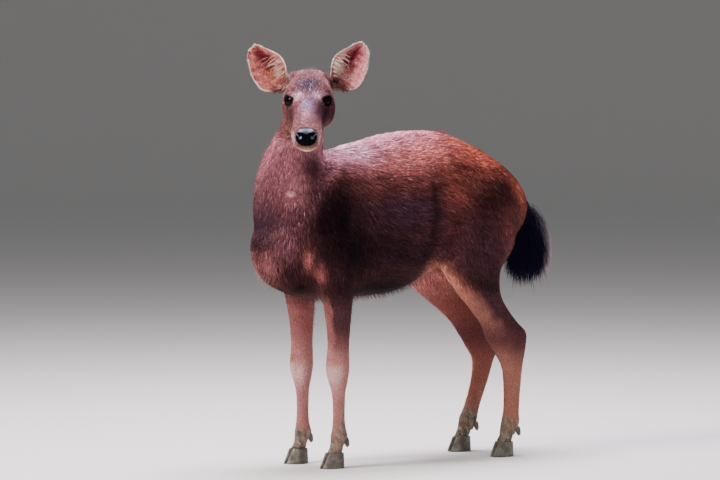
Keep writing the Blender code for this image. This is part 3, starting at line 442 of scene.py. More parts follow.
# Regions of the coat, each with its own piece: name, number of tufts, slot
REGIONS = (
    ("face", 49000, "coat_brown"),
    ("ears", 16000, "ear_skin"),
    ("neck", 49000, "coat_brown"),
    ("shoulders", 49000, "coat_dark"),
    ("barrel", 49500, "coat_brown"),
    ("rump", 49500, "coat_rust"),
    ("forelegs", 42000, "leg_hair"),
    ("hindlegs", 46000, "leg_hair"),
)
# Where they meet: the end of the shoulders, the end of the barrel and the top of the legs
SHOULDERS_END = -0.14
BARREL_END = 0.10
LEG_TOP = 0.445

# The view of the photo: its pixels to a metre, and how far the trunk's middle lies right of and
# below the picture's middle in pixels
PHOTO_SCALE = 362.0
PHOTO_OFFSET = (42.5, 3.0)
TARGET_HEIGHT = 0.60
# Flat part of the floor and the radius by which its edge curves up
FLOOR_FLAT = 16.0
FLOOR_CURVE = 8.0
SKY_COLOUR = "#e6e8ee"
SKY_STRENGTH = 0.27
# Lights: name, metres up, right and back towards the camera from the target, watts, size, colour
LIGHTS = (
    ("sky_light", 3.4, 0.1, -0.6, 460.0, 2.2, "#f8eeff"),
    ("key_light", 2.5, -3.1, 2.4, 380.0, 1.5, "#fff2f0"),
    ("fill_light", 0.8, 3.4, 2.4, 14.0, 2.6, "#eef2ff"),
)

# How deep the root of a tuft sits in the skin
ROOT_DEPTH = 0.0006
# Numbers of long hairs: in both ears, under the belly, on the lids and on the chin
EAR_HAIRS = 190
BELLY_HAIRS = 1600
LASHES = 110
CHIN_HAIRS = 60
# Width of a long hair at each ring from root to tip, as a share of its full width
STRAND_TAPER = (0.7, 1.0, 0.85, 0.55, 0.05)

# The skin read back: points, triangles, normals, unwrap, and middle and normal of each triangle
Skin = namedtuple("Skin", "points faces normals unwrap middle face_normal")


def linear(hex_colour):
    """An sRGB hex colour as linear red, green and blue."""
    value = np.array([int(hex_colour[k:k + 2], 16) for k in (1, 3, 5)]) / 255.0
    return np.where(value <= 0.04045, value / 12.92, ((value + 0.055) / 1.055) ** 2.4)


def step(low, high, value):
    """0 below low, 1 above high, and a smooth rise 3t^2 - 2t^3 between them."""
    t = np.clip((value - low) / (high - low), 0.0, 1.0)
    return t * t * (3.0 - 2.0 * t)


def unit(vectors):
    """Vectors divided by their own length."""
    return vectors / np.maximum(np.linalg.norm(vectors, axis=-1, keepdims=True), 1e-12)


def bell(value, middle, reach):
    """1 at the middle, 0.37 at one reach from it and close to 0 at two."""
    return np.exp(-((value - middle) / reach) ** 2)


def round_bell(points, middle, reach):
    """The same bell of the distance from a point in space."""
    return np.exp(-np.sum((points - middle) ** 2, axis=1) / reach ** 2)


def folded(points, axis):
    """Places with one axis made positive, because both sides of the animal share one table."""
    half = points.copy()
    half[:, axis] = np.abs(points[:, axis])
    return half


def toward(colour, goal, share):
    """Colours moved by a share for each point towards a hex colour or other colours."""
    goal = linear(goal) if isinstance(goal, str) else goal
    return colour + (goal - colour) * np.reshape(share, (-1, 1))


def spread(keys, count):
    """Rows of key values made into count rows on a cubic Hermite curve through the keys."""
    keys = np.asarray(keys, float)
    slope = np.gradient(keys, axis=0)
    at = np.linspace(0.0, len(keys) - 1.0, count)
    low = np.minimum(at.astype(int), len(keys) - 2)
    t = (at - low)[:, None]
    return ((1 + 2 * t) * (1 - t) ** 2 * keys[low] + t * (1 - t) ** 2 * slope[low]
            + t * t * (3 - 2 * t) * keys[low + 1] + t * t * (t - 1) * slope[low + 1])


def round_angles(sides):
    """Cosines and sines of evenly spaced angles round a ring."""
    angle = np.linspace(0.0, 2.0 * math.pi, sides, endpoint=False)
    return np.cos(angle), np.sin(angle)


def grid_faces(rows, columns, closed):
    """Triangles of a grid of points, two for each cell, wrapped round where it is closed."""
    row = np.arange(rows - 1)[:, None] * columns
    column = np.arange(columns if closed else columns - 1)[None, :]
    ahead = (column + 1) % columns
    a, b, c, d = (part.ravel() for part in np.broadcast_arrays(
        row + column, row + ahead, row + columns + ahead, row + columns + column))
    return np.concatenate([np.stack([a, b, c], 1), np.stack([a, c, d], 1)])


def tube(rings):
    """Points and triangles of a tube through rings, closed by a fan at each end."""
    count, sides = rings.shape[:2]
    points = np.concatenate([rings.reshape(-1, 3), rings[0].mean(0)[None], rings[-1].mean(0)[None]])
    here = np.arange(sides)
    ahead = (here + 1) % sides
    last = (count - 1) * sides
    first_fan = np.stack([np.full(sides, count * sides), ahead, here], 1)
    last_fan = np.stack([np.full(sides, count * sides + 1), last + here, last + ahead], 1)
    return points, np.concatenate([grid_faces(count, sides, True), first_fan, last_fan])


def outward(points, faces):
    """The faces turned so that the closed surface has a positive volume."""
    a, b, c = (points[faces[:, k]] for k in range(3))
    return faces if np.sum(a * np.cross(b, c)) > 0 else faces[:, ::-1]


def gathered(parts):
    """Several lists of points and triangles as one."""
    starts = np.cumsum([0] + [len(points) for points, _ in parts[:-1]])
    return (np.concatenate([points for points, _ in parts]),
            np.concatenate([faces + start for (_, faces), start in zip(parts, starts)]))


def new_object(name, points, faces):
    """A mesh object filled from whole arrays of points and triangles."""
    mesh = bpy.data.meshes.new(name)
    mesh.vertices.add(len(points))
    mesh.vertices.foreach_set("co", np.asarray(points, np.float32).ravel())
    mesh.loops.add(faces.size)
    mesh.loops.foreach_set("vertex_index", np.asarray(faces, np.int32).ravel())
    mesh.polygons.add(len(faces))
    mesh.polygons.foreach_set("loop_start", np.arange(0, faces.size, 3, dtype=np.int32))
    mesh.update(calc_edges=True)
    made = bpy.data.objects.new(name, mesh)
    bpy.context.scene.collection.objects.link(made)
    return made


def mesh_arrays(source):
    """Points and triangles of an object's mesh with its modifiers applied."""
    bpy.context.view_layer.update()
    shown = source.evaluated_get(bpy.context.evaluated_depsgraph_get())
    mesh = shown.to_mesh()
    mesh.calc_loop_triangles()
    points = np.empty(len(mesh.vertices) * 3, np.float32)
    mesh.vertices.foreach_get("co", points)
    faces = np.empty(len(mesh.loop_triangles) * 3, np.int32)
    mesh.loop_triangles.foreach_get("vertices", faces)
    shown.to_mesh_clear()
    return points.reshape(-1, 3).astype(float), faces.reshape(-1, 3)


def discard(*objects):
    """Remove helpers that have done their work."""
    for old in objects:
        bpy.data.objects.remove(old, do_unlink=True)


def remeshed(parts, voxel):
    """Closed surfaces fused into one by a voxel remesh."""
    helper = new_object("form", *gathered(parts))
    fuse = helper.modifiers.new("fuse", "REMESH")
    fuse.mode = "VOXEL"
    fuse.voxel_size = voxel
    points, faces = mesh_arrays(helper)
    discard(helper)
    return points, faces


def normals_of(points, faces):
    """Normals at the points: the sum of the area normals of the faces that meet there."""
    corner = points[faces]
    area = np.cross(corner[:, 1] - corner[:, 0], corner[:, 2] - corner[:, 0])
    total = np.stack([np.bincount(faces.ravel(), np.repeat(area[:, k], 3), len(points))
                      for k in range(3)], axis=1)
    return unit(total)


def smoothed(points, faces, share, rounds):
    """Points moved part of the way to the mean of their neighbours, round after round."""
    edges = np.concatenate([faces[:, (0, 1)], faces[:, (1, 2)], faces[:, (2, 0)]])
    count = np.maximum(np.bincount(edges.ravel(), minlength=len(points)), 1)[:, None]
    share = np.broadcast_to(np.asarray(share, float), (len(points),))[:, None]
    for _ in range(rounds):
        total = np.stack([np.bincount(edges[:, 0], points[edges[:, 1], k], len(points))
                          + np.bincount(edges[:, 1], points[edges[:, 0], k], len(points))
                          for k in range(3)], axis=1)
        points = points + share * (total / count - points)
    return points


def combined(target, tools, operation):
    """Boolean of a target with closed tools, of which the largest closed surface is kept."""
    for tool in tools:
        change = target.modifiers.new("cut", "BOOLEAN")
        change.operation = operation
        change.solver = "MANIFOLD"
        change.object = tool
    points, faces = mesh_arrays(target)
    discard(target, *tools)
    return largest(points, faces)


def largest(points, faces):
    """The largest connected surface, found by passing the lowest point number round."""
    label = np.arange(len(points))
    while True:
        low = label[faces].min(axis=1)
        passed = label.copy()
        np.minimum.at(passed, faces.ravel(), np.repeat(low, 3))
        passed = passed[passed]
        if np.array_equal(passed, label):
            break
        label = passed
    names, number = np.unique(label[faces[:, 0]], return_counts=True)
    keep = label[faces[:, 0]] == names[np.argmax(number)]
    used, index = np.unique(faces[keep], return_inverse=True)
    return points[used], index.reshape(-1, 3)


def trunk_rings(count, sides):
    """Trunk sections: an upright ellipse whose sides draw in towards the crest of the back."""
    across, height = round_angles(sides)
    rows = spread(TRUNK, count)
    y, top, bottom, half = (rows[:, k, None] for k in range(4))
    middle = bottom + (top - bottom) * TRUNK_MIDDLE
    rise = np.where(height > 0, top - middle, middle - bottom) * height
    width = half * across * (1.0 - TRUNK_CREST * np.maximum(height, 0.0) ** 3)
    return np.stack([width, np.broadcast_to(y, width.shape), middle + rise], axis=2)


def neck_rings(count, sides):
    """Neck sections: ellipses square to its line, turned to the left towards the head."""
    across, depth = round_angles(sides)
    rows = spread(NECK, count)
    line = rows[:, :3]
    along = unit(np.gradient(line, axis=0))
    turn = np.radians(rows[:, 5])
    side = np.stack([np.cos(turn), np.sin(turn), np.zeros_like(turn)], axis=1)
    front = unit(np.cross(side, along))
    return (line[:, None, :] + side[:, None, :] * (rows[:, 3, None] * across)[:, :, None]
            + front[:, None, :] * (rows[:, 4, None] * depth)[:, :, None])


def leg_rows(which):
    """The table of a leg's sections."""
    return FORELEG if which.startswith("fore") else HINDLEG


def leg_side(which):
    """1 for a left leg and -1 for a right one."""
    return 1.0 if which.endswith("left") else -1.0


def stance_shift(which, z):
    """How far back a leg stands at a height."""
    stance = np.array(STANCE[which])
    return np.interp(z, stance[:, 0], stance[:, 1])


def leg_rings(which, count, sides):
    """Level ellipses down one leg, mirrored for the right side and set to its stance."""
    across, depth = round_angles(sides)
    rows = spread(leg_rows(which), count)
    y = rows[:, 1] + stance_shift(which, rows[:, 2])
    return np.stack([leg_side(which) * rows[:, 0, None] + rows[:, 3, None] * across,
                     y[:, None] + rows[:, 4, None] * depth,
                     np.repeat(rows[:, 2, None], sides, axis=1)], axis=2)


def head_world(local):
    """World places of points given along the head, to its side and up from its line."""
    local = np.asarray(local, float)
    return (HEAD_ORIGIN + local[..., 0, None] * HEAD_AXIS + local[..., 1, None] * HEAD_SIDE
            + local[..., 2, None] * HEAD_UP)


def head_local(points):
    """Places along the head, to its side and up from its line."""
    apart = points - HEAD_ORIGIN
    return np.stack([apart @ HEAD_AXIS, apart @ HEAD_SIDE, apart @ HEAD_UP], axis=1)


def head_rings(count, sides):
    """Head sections: superellipses, pushed out by bells at the named forms."""
    across, height = round_angles(sides)
    rows = spread(HEAD, count)
    along, top, bottom, half, top_power = (rows[:, k, None] for k in range(5))
    middle = bottom + (top - bottom) * HEAD_MIDDLE
    rise = np.where(height > 0, top - middle, middle - bottom)
    side = half * np.sign(across) * np.abs(across) ** np.where(height > 0, top_power, LOWER_POWER)
    up = middle + rise * np.sign(height) * np.abs(height) ** HEIGHT_POWER
    base = np.stack([np.broadcast_to(along, side.shape), side, up], axis=2)
    out = unit(np.stack([np.zeros_like(side), side, up - middle], axis=2))
    swell = np.zeros(side.shape)
    for place_along, place_side, place_up, reach, rises in HEAD_FORMS:
        for mirror in ((1.0, -1.0) if place_side else (1.0,)):
            apart = base - np.array((place_along, place_side * mirror, place_up))
            swell += rises * np.exp(-np.sum(apart * apart, axis=2) / (reach * reach))
    return head_world(base + out * swell[:, :, None])


def ball(middle, axes, sizes, segments):
    """An ellipsoid: rings of latitude about the first axis, closed at its poles."""
    rings = segments // 2 - 1
    polar = np.linspace(0.0, math.pi, rings + 2)[1:-1, None]
    turn = np.linspace(0.0, 2.0 * math.pi, segments, endpoint=False)[None, :]
    across = np.sin(polar)
    round_unit = np.stack(np.broadcast_arrays(np.cos(polar), across * np.cos(turn),
                                              across * np.sin(turn)), axis=2)
    points, faces = tube(middle + (round_unit * np.asarray(sizes)) @ np.asarray(axes))
    points[-2] = middle + axes[0] * sizes[0]
    points[-1] = middle - axes[0] * sizes[0]
    return points, outward(points - middle, faces)


def eye_axes(side):
    """Where an eye looks, the line between its corners, and the way up across it."""
    look = unit(HEAD_SIDE * side * EYE_LOOK[1] + HEAD_AXIS * EYE_LOOK[0] + HEAD_UP * EYE_LOOK[2])
    corner = HEAD_AXIS - HEAD_UP * LID_SLANT
    corner = unit(corner - look * np.dot(corner, look))
    return [look, corner, np.cross(look, corner)]


def eye_middle(side):
    """The middle of the left eye where side is 1, and of the right eye where it is -1."""
    return head_world(np.array(EYE_PLACE) * (1.0, side, 1.0))


def mouth_groove():
    """A flat tube along the line of the lips, from one corner of the mouth to the other."""
    line = spread(MOUTH_LINE, 24)
    rows = np.array(HEAD)
    half, top, bottom = (np.interp(line[:, 0], rows[:, 0], rows[:, k]) for k in (3, 1, 2))
    middle = bottom + (top - bottom) * HEAD_MIDDLE
    height = -np.clip(((middle - line[:, 1]) / (middle - bottom)), 0.0, 0.999) ** (1 / HEIGHT_POWER)
    local = np.stack([line[:, 0], half * np.sqrt(1.0 - height ** 2) ** LOWER_POWER + MOUTH_OUT,
                      line[:, 1]], axis=1)
    local[-2:, 1] = (local[-2, 1] * 0.8, 0.010)
    front = np.array([[local[-1, 0] + 0.0045, 0.0, local[-1, 2]]])
    path = head_world(np.concatenate([local, front, local[::-1] * (1.0, -1.0, 1.0)]))
    across = unit(np.cross(unit(np.gradient(path, axis=0)), HEAD_UP))
    cosine, sine = round_angles(10)
    rings = (path[:, None, :] + across[:, None, :] * (cosine * MOUTH_DEPTH)[None, :, None]
             + HEAD_UP * (sine * MOUTH_HALF_HEIGHT)[None, :, None])
    points, faces = tube(rings)
    return points, outward(points - points.mean(0), faces)


def ear_frame(side):
    """Root of an ear, its long axis, the way its cup opens, and the way to its upper edge."""
    lean = EAR_LEAN_LEFT if side > 0 else EAR_LEAN_RIGHT
    axis = unit(HEAD_SIDE * side * lean[0] + UP * lean[1] + FACING * lean[2])
    opening = FACING + HEAD_SIDE * side * 0.16
    opening = unit(opening - axis * np.dot(opening, axis))
    inner = UP - axis * np.dot(UP, axis)
    inner = unit(inner - opening * np.dot(inner, opening))
    return head_world(np.array(EAR_ROOT) * (1.0, side, 1.0)), axis, opening, inner


def ear_local(points, side):
    """Share of the ear's length, distance towards the upper edge, and out of the cup."""
    root, axis, opening, inner = ear_frame(side)
    apart = points - root
    return apart @ axis / EAR_LENGTH, apart @ inner, apart @ opening


def ear_cup(side, rows_count, columns, inset):
    """A thin cup: a grid along the ear and across it, 1 - u^2 deep, with a back wall."""
    rows = spread(EAR, rows_count)
    root, axis, opening, inner = ear_frame(side)
    across = np.sin(np.linspace(-0.5, 0.5, columns) * math.pi)[None, :]
    half = np.where(across < 0, rows[:, 1, None], rows[:, 2, None]) - inset
    fold = 0.0016 * np.sin(across * 9.0 + rows[:, 0, None] * 3.0) * (1.0 - across ** 2)
    depth = rows[:, 3, None] * (1.0 - across ** 2) + fold + inset * 0.6
    wall = np.maximum(rows[:, 4, None] * (1.0 - 0.5 * across ** 4) - inset * 1.4, 0.0009)
    base = (root + axis * (rows[:, 0] * (EAR_LENGTH - inset))[:, None, None]
            + inner * (half * across)[:, :, None])
    front = (base - opening * depth[:, :, None]).reshape(-1, 3)
    back = (base - opening * (depth + wall)[:, :, None]).reshape(-1, 3)
    sheet = grid_faces(rows_count, columns, False)
    count = len(front)
    rim = np.concatenate([np.arange(columns), np.arange(2, rows_count) * columns - 1,
                          (rows_count - 1) * columns + np.arange(columns - 1, -1, -1),
                          np.arange(rows_count - 2, 0, -1) * columns])
    ahead = np.roll(rim, -1)
    edge = np.concatenate([np.stack([rim, ahead, count + ahead], 1),
                           np.stack([rim, count + ahead, count + rim], 1)])
    points = np.concatenate([front, back])
    faces = np.concatenate([sheet[:, ::-1], sheet + count, edge])
    return points, outward(points - points.mean(0), faces)


def ear_share(points):
    """How far points belong to an ear, and that ear's own places for them."""
    best = [np.zeros(len(points)), np.zeros(len(points)), np.zeros(len(points))]
    share = np.zeros(len(points))
    turned = np.zeros((len(points), 3))
    for side in (1.0, -1.0):
        along, inner, out = ear_local(points, side)
        near = (along > 0.0) & (along < 1.1) & (np.abs(inner) < 0.075) & (out > -0.07) & (out < 0.02)
        outside = np.abs(head_local(points)[:, 1]) > 0.050
        value = np.where(near & outside, step(0.10, 0.24, along), 0.0)
        for store, new in zip(best, (along, inner, out)):
            store[value > share] = new[value > share]
        turned[value > share] = ear_frame(side)[2]
        share = np.maximum(share, value)
    return share, best, turned


def head_share(points):
    """1 on the head, 0 on the neck and body, with a smooth change behind the jaw."""
    along, side, up = head_local(points).T
    inside = step(-0.002, 0.030, along + 0.35 * up) * step(0.16, 0.11, np.abs(side))
    rows = np.array(HEAD)
    jaw = np.interp(along, rows[:, 0], rows[:, 2])
    return inside * step(-0.016, -0.004, up - jaw)


def guide_values(points):
    """Lie, length, width and lift of the coat: guides weighed by a bell of their distance."""
    guides = np.array(COAT_GUIDES)
    half = folded(points, 0)
    total = np.zeros((len(points), guides.shape[1] - 3))
    weight_sum = np.zeros(len(points))
    for guide in guides:
        weight = round_bell(half, guide[:3], GUIDE_REACH) + 1e-9
        total += weight[:, None] * guide[3:]
        weight_sum += weight
    return total / weight_sum[:, None]


def coat_at(points, normals):
    """The way the hair lies on the surface, and its length, width and lift in metres."""
    values = guide_values(points)
    lie, sizes = values[:, :3], values[:, 3:] * 0.001
    near = round_bell(points, SORE_SPOT, SORE_WHORL)[:, None]
    lie = lie + (unit(points - SORE_SPOT) - lie) * np.minimum(near * 1.5, 1.0)
    sizes = sizes * (1.0 - 0.75 * near)
    head = head_share(points)[:, None]
    along, side, up = head_local(points).T
    head_lie = (-HEAD_AXIS + HEAD_SIDE * (side * 5.0)[:, None]
                - HEAD_UP * (step(0.03, -0.03, up) * 0.60)[:, None])
    lie = lie + (head_lie - lie) * head
    crown = step(0.125, 0.07, along) * step(0.020, 0.045, up)
    face = np.stack([FACE_HAIR[0] - 0.0035 * step(0.14, 0.25, along) + 0.0020 * crown,
                     FACE_HAIR[1] + 0.0003 * crown,
                     FACE_HAIR[2] - 0.0008 * step(0.12, 0.24, along) + 0.0004 * crown], axis=1)
    sizes = sizes + (face - sizes) * head
    share = ear_share(points)[0]
    ear_lie = np.where(side[:, None] > 0, ear_frame(1.0)[1], ear_frame(-1.0)[1])
    lie = lie + (ear_lie - lie) * share[:, None]
    sizes = sizes + (np.array(EAR_HAIR_SIZE) - sizes) * share[:, None]
    lie = lie - normals * np.sum(lie * normals, axis=1, keepdims=True)
    return unit(lie), sizes[:, 0], sizes[:, 1], sizes[:, 2]


def blended(colour, marks, places):
    """Each marking laid over the last: a bell of the place, stretched by its three reaches."""
    for x, y, z, reach_x, reach_y, reach_z, tint, strength in marks:
        apart = (places - (x, y, z)) / (reach_x, reach_y, reach_z)
        share = strength * np.exp(-np.sum(apart * apart, axis=1))
        colour = toward(colour, tint, share)
    return colour


def noise_at(points, scale, seed):
    """A smooth random value from -1 to 1: a sum of six waves with seeded directions."""
    draws = np.random.default_rng(seed)
    total = np.zeros(len(points))
    for _ in range(6):
        way = unit(draws.normal(size=3)) * scale * draws.uniform(0.6, 1.7)
        total += np.sin(points @ way + draws.uniform(0.0, 6.283))
    return total / 3.2


def leg_colour(points, normals, colour):
    """The legs laid over the coat: pale thighs, tan shanks, brown hocks, pale knees and mud, with painted
    light and shade.
    """
    y, z = points[:, 1], points[:, 2]
    outer = np.sign(points[:, 0]) * normals[:, 0]
    behind = y > -0.02
    ragged = noise_at(points, 110.0, 6)
    # The pale strip of the thigh keeps to the front and the inside of the hind leg: partly its own pale
    # hair, partly painted light on its lit front edge
    rows = np.array(HINDLEG)[::-1]
    bone = np.interp(z, rows[:, 2], rows[:, 1])
    bone = bone + (points[:, 0] < 0.0) * stance_shift("hind_right", z)
    across = (y - bone) / np.interp(z, rows[:, 2], rows[:, 4]) + 0.14 * ragged
    fore_edge = np.interp(z, (0.33, 0.38, 0.47, 0.56), (-0.10, -0.30, -0.52, -0.92))
    inward = np.maximum(step(fore_edge + 0.48, fore_edge - 0.40, across), step(0.30, -0.20, outer))
    thigh = inward * step(0.60, 0.51, z) * step(-0.02, 0.06, y)
    thigh = thigh * step(0.145, 0.105, np.abs(points[:, 0]))
    # The far thigh's pale strip is painted darker as painted shade
    thigh_tan = toward(linear(THIGH_TAN), FAR_THIGH_PAINTED_SHADE, step(0.02, -0.03, points[:, 0]))
    colour = toward(colour, thigh_tan, 0.95 * thigh)
    # Shanks are tan, dark on the outside and towards the body: partly their own dark hair, partly painted
    # shade on the sides turned from the light
    tan = np.where(behind[:, None], linear(HIND_TAN), linear(LEG_TAN))
    tan = toward(tan, LEG_HIGH, np.where(behind, 0.30, 0.85) * step(0.29, 0.39, z))
    shade = np.where(behind, 0.90 * (1.0 - inward),
                     0.84 * step(0.0, 0.50, outer + 0.55 * normals[:, 1] + 0.10 * ragged))
    low = np.where(behind, 0.22, 0.26)
    tan = toward(tan, LEG_SHADE, shade * step(low, low + 0.15, z))
    tan = toward(tan, HIND_RED, 0.85 * (behind * step(0.10, 0.30, z) * step(0.2, -0.3, outer)))
    tan = toward(tan, HOCK_BROWN, 0.80 * (behind * bell(z, 0.335, 0.050)))
    front = (y < 0.0) * step(0.3, -0.5, normals[:, 1])
    tan = toward(tan, KNEE_PALE, 0.95 * (bell(z, 0.258, 0.036) * front))
    band = bell(z, 0.297, 0.011) * front
    tan = toward(tan, KNEE_ORANGE, band * (0.5 + 0.3 * noise_at(points, 150.0, 7)))
    colour = toward(colour, tan, step(0.50, 0.42, z))
    mud_line = 0.115 + 0.035 * noise_at(points, 60.0, 3)
    mud = step(mud_line + 0.03, mud_line - 0.02, z) * (0.72 + 0.28 * noise_at(points, 240.0, 4))
    caked = linear(MUD) * np.clip(0.72 + 0.42 * noise_at(points, 420.0, 5), 0.2, 1.2)[:, None]
    return toward(colour, caked, np.clip(mud, 0.0, 1.0))


def head_colour(points, colour):
    """The bare spot of the throat and the head laid over the coat, with painted shade on the face's left
    side and dark rims to the eyes.
    """
    colour = toward(colour, SORE_PINK, 0.9 * round_bell(points, SORE_SPOT, SORE_REACH))
    colour = toward(colour, SORE_DARK, 0.9 * round_bell(points, SORE_SPOT + (0.0, 0.0, 0.004), 0.0026))
    local = head_local(points)
    head = blended(np.tile(linear(FACE_BASE), (len(points), 1)), HEAD_MARKS_AND_PAINTED_LIGHT, folded(local, 1))
    # The face's left side gets painted shade over its markings
    colour = toward(colour, blended(head, LEFT_FACE_PAINTED_SHADE, local), head_share(points))
    for side in (1.0, -1.0):
        look, corner, above = eye_axes(side)
        apart = points - eye_middle(side)
        across = np.hypot(apart @ corner / EYE_RIM_SIZE[0], apart @ above / EYE_RIM_SIZE[1])
        colour = toward(colour, EYE_RIM, step(1.16, 0.98, across) * (apart @ look > 0.0))
    return colour


def ear_colour(points, normals, colour):
    """The ears laid over the coat: pink inside with a deep red hollow, partly painted shade, painted light
    inside the left ear, brown behind, pale rims.
    """
    share, (along, inner, _), opening = ear_share(points)
    rows = np.array(EAR)
    width = np.where(inner < 0, np.interp(along, rows[:, 0], rows[:, 1]),
                     np.interp(along, rows[:, 0], rows[:, 2]))
    edge = np.abs(inner) / np.maximum(width, 0.004)
    border = np.minimum(width - np.abs(inner), (1.0 - along) * EAR_LENGTH)
    left = head_local(points)[:, 1] > 0.0
    # The deep red of the hollow: partly the ear's own colour, partly painted shade where the cup is deepest
    deep = step(0.80, 0.10, edge + 0.12 * noise_at(points, 260.0, 8))
    deep *= step(0.28, 0.50, along) * step(1.00, 0.84, along)
    inside = toward(linear(EAR_INSIDE), EAR_DEEP, deep)
    tan = np.exp(-((along - 0.33) / 0.13) ** 2 - ((inner + 0.012) / 0.021) ** 2)
    inside = toward(inside, EAR_TAN, tan * np.where(left, 0.3, 0.9))
    # Painted light: the inside of the left ear made brighter
    inside = inside * (1.0 + np.outer(left, LEFT_EAR_PAINTED_LIGHT))
    rim = step(0.0028, 0.0011, border)
    inside = toward(inside, EAR_RIM, rim)
    back = toward(linear(EAR_BACK), EAR_RIM, 0.6 * rim)
    front = step(-0.15, 0.35, np.sum(normals * opening, axis=1))
    return toward(colour, toward(back, inside, front), share)


def colour_at(points, normals):
    """The coat's colour: brown, with the animal's markings and painted light and shade, tan legs, mud and
    pink ears.
    """
    colour = blended(np.tile(linear(HAIR_BASE), (len(points), 1)), MARKS_AND_PAINTED_LIGHT, folded(points, 0))
    colour = leg_colour(points, normals, colour)
    colour = head_colour(points, colour)
    return np.clip(ear_colour(points, normals, colour), 0.0, 1.0)


def add_node(tree, kind, settings, links):
    """A node with its settings, and its inputs set to values or joined to other sockets."""
    node = tree.nodes.new(kind)
    for key, value in settings.items():
        setattr(node, key, value)
    for key, value in links.items():
        if isinstance(value, bpy.types.NodeSocket):
            tree.links.new(value, node.inputs[key])
        else:
            node.inputs[key].default_value = value
    return node


def new_material(name):
    """An empty material, its tree and its surface shader joined to the output."""
    material = bpy.data.materials.new(name)
    material.use_nodes = True
    tree = material.node_tree
    tree.nodes.clear()
    shader = add_node(tree, "ShaderNodeBsdfPrincipled", {}, {})
    add_node(tree, "ShaderNodeOutputMaterial", {}, {"Surface": shader.outputs["BSDF"]})
    return material, tree, shader


def object_place(tree):
    """The place of each point in the object's own coordinates, in metres."""
    return add_node(tree, "ShaderNodeTexCoord", {}, {}).outputs["Object"]


def noise(tree, place, scale, detail):
    """Noise from 0 to 1, with cells of one metre divided by the scale."""
    links = {"Vector": place, "Scale": scale, "Detail": detail}
    return add_node(tree, "ShaderNodeTexNoise", {}, links).outputs["Fac"]


def stretched(tree, place, scales):
    """A place multiplied along each axis."""
    return add_node(tree, "ShaderNodeMapping", {}, {"Vector": place, "Scale": scales}).outputs["Vector"]


def ranged(tree, value, low, high, new_low, new_high):
    """A value from one range set in another."""
    links = {"Value": value, "From Min": low, "From Max": high, "To Min": new_low, "To Max": new_high}
    return add_node(tree, "ShaderNodeMapRange", {}, links).outputs["Result"]


def mixed(tree, share, first, second, blend="MIX"):
    """Two colours mixed, the second by its share. A hex colour may stand for either."""
    first, second = ((*linear(colour), 1.0) if isinstance(colour, str) else colour
                     for colour in (first, second))
    settings = {"data_type": "RGBA", "blend_type": blend}
    return add_node(tree, "ShaderNodeMix", settings, {0: share, 6: first, 7: second}).outputs[2]


def bumped(tree, shader, height, strength, distance):
    """Join a height to the shader as a bump."""
    links = {"Height": height, "Strength": strength, "Distance": distance}
    bump = add_node(tree, "ShaderNodeBump", {}, links)
    tree.links.new(bump.outputs["Normal"], shader.inputs["Normal"])


def surface(tree, shader, colour, values):
    """Join the base colour and set the shader's constant values."""
    tree.links.new(colour, shader.inputs["Base Color"])
    for name, value in values.items():
        shader.inputs[name].default_value = value


def hair_material():
    """Deer hair: keratin, smooth along its length, so it has a soft gloss and no deep shine."""
    material, tree, shader = new_material("deer_hair_keratin")
    tint = add_node(tree, "ShaderNodeAttribute", {"attribute_name": "coat_colour"}, {})
    # Hairs are about 0.1 mm thick, too fine to show, so the flecks here are 3 mm across
    flecks = ranged(tree, noise(tree, object_place(tree), 330.0, 2.0), 0.3, 0.7, 0.78, 1.22)
    surface(tree, shader, mixed(tree, 1.0, tint.outputs["Color"], flecks, "MULTIPLY"),
            {"Roughness": 0.55, "Specular IOR Level": 0.04, "IOR": 1.55})
    return material


def hide_material():
    """Hide under the hair: the same markings, painted darker as shade between the roots, with short-hair
    bump.
    """
    material, tree, shader = new_material("deer_hide_short_hair")
    tint = add_node(tree, "ShaderNodeAttribute", {"attribute_name": "coat_colour"}, {})
    # Short hairs lie about 2 mm apart in clumps
    grain = noise(tree, object_place(tree), 500.0, 3.0)
    share = ranged(tree, grain, 0.3, 0.7, 0.55, 1.05)
    surface(tree, shader, mixed(tree, 1.0, tint.outputs["Color"], share, "MULTIPLY"),
            {"Roughness": 0.65, "Specular IOR Level": 0.06})
    bumped(tree, shader, grain, 0.5, 0.0008)
    return material


def nose_material():
    """Wet bare skin of the nose pad: black, set with small flat beads, under a film of moisture, with a
    painted reflection on its upper side.
    """
    material, tree, shader = new_material("wet_nose_skin")
    # The beads of a deer's nose are about 1.3 mm across
    beads = add_node(tree, "ShaderNodeTexVoronoi", {"feature": "F1"},
                     {"Vector": object_place(tree), "Scale": 770.0})
    height = ranged(tree, beads.outputs["Distance"], 0.0, 0.7, 1.0, 0.0)
    # Painted reflection: the pad is painted paler grey-blue on its upper rim, which faces up, and its film
    # of moisture is thickest there
    film = add_node(tree, "ShaderNodeAttribute", {"attribute_name": "wetness_and_reflection"}, {}).outputs["Fac"]
    skin = mixed(tree, height, NOSE_BLACK, NOSE_BEAD)
    surface(tree, shader, mixed(tree, film, skin, NOSE_PAINTED_REFLECTION),
            {"Roughness": 0.40, "Specular IOR Level": 0.02, "Coat Roughness": 0.26})
    tree.links.new(film, shader.inputs["Coat Weight"])
    bumped(tree, shader, height, 0.6, 0.0005)
    return material


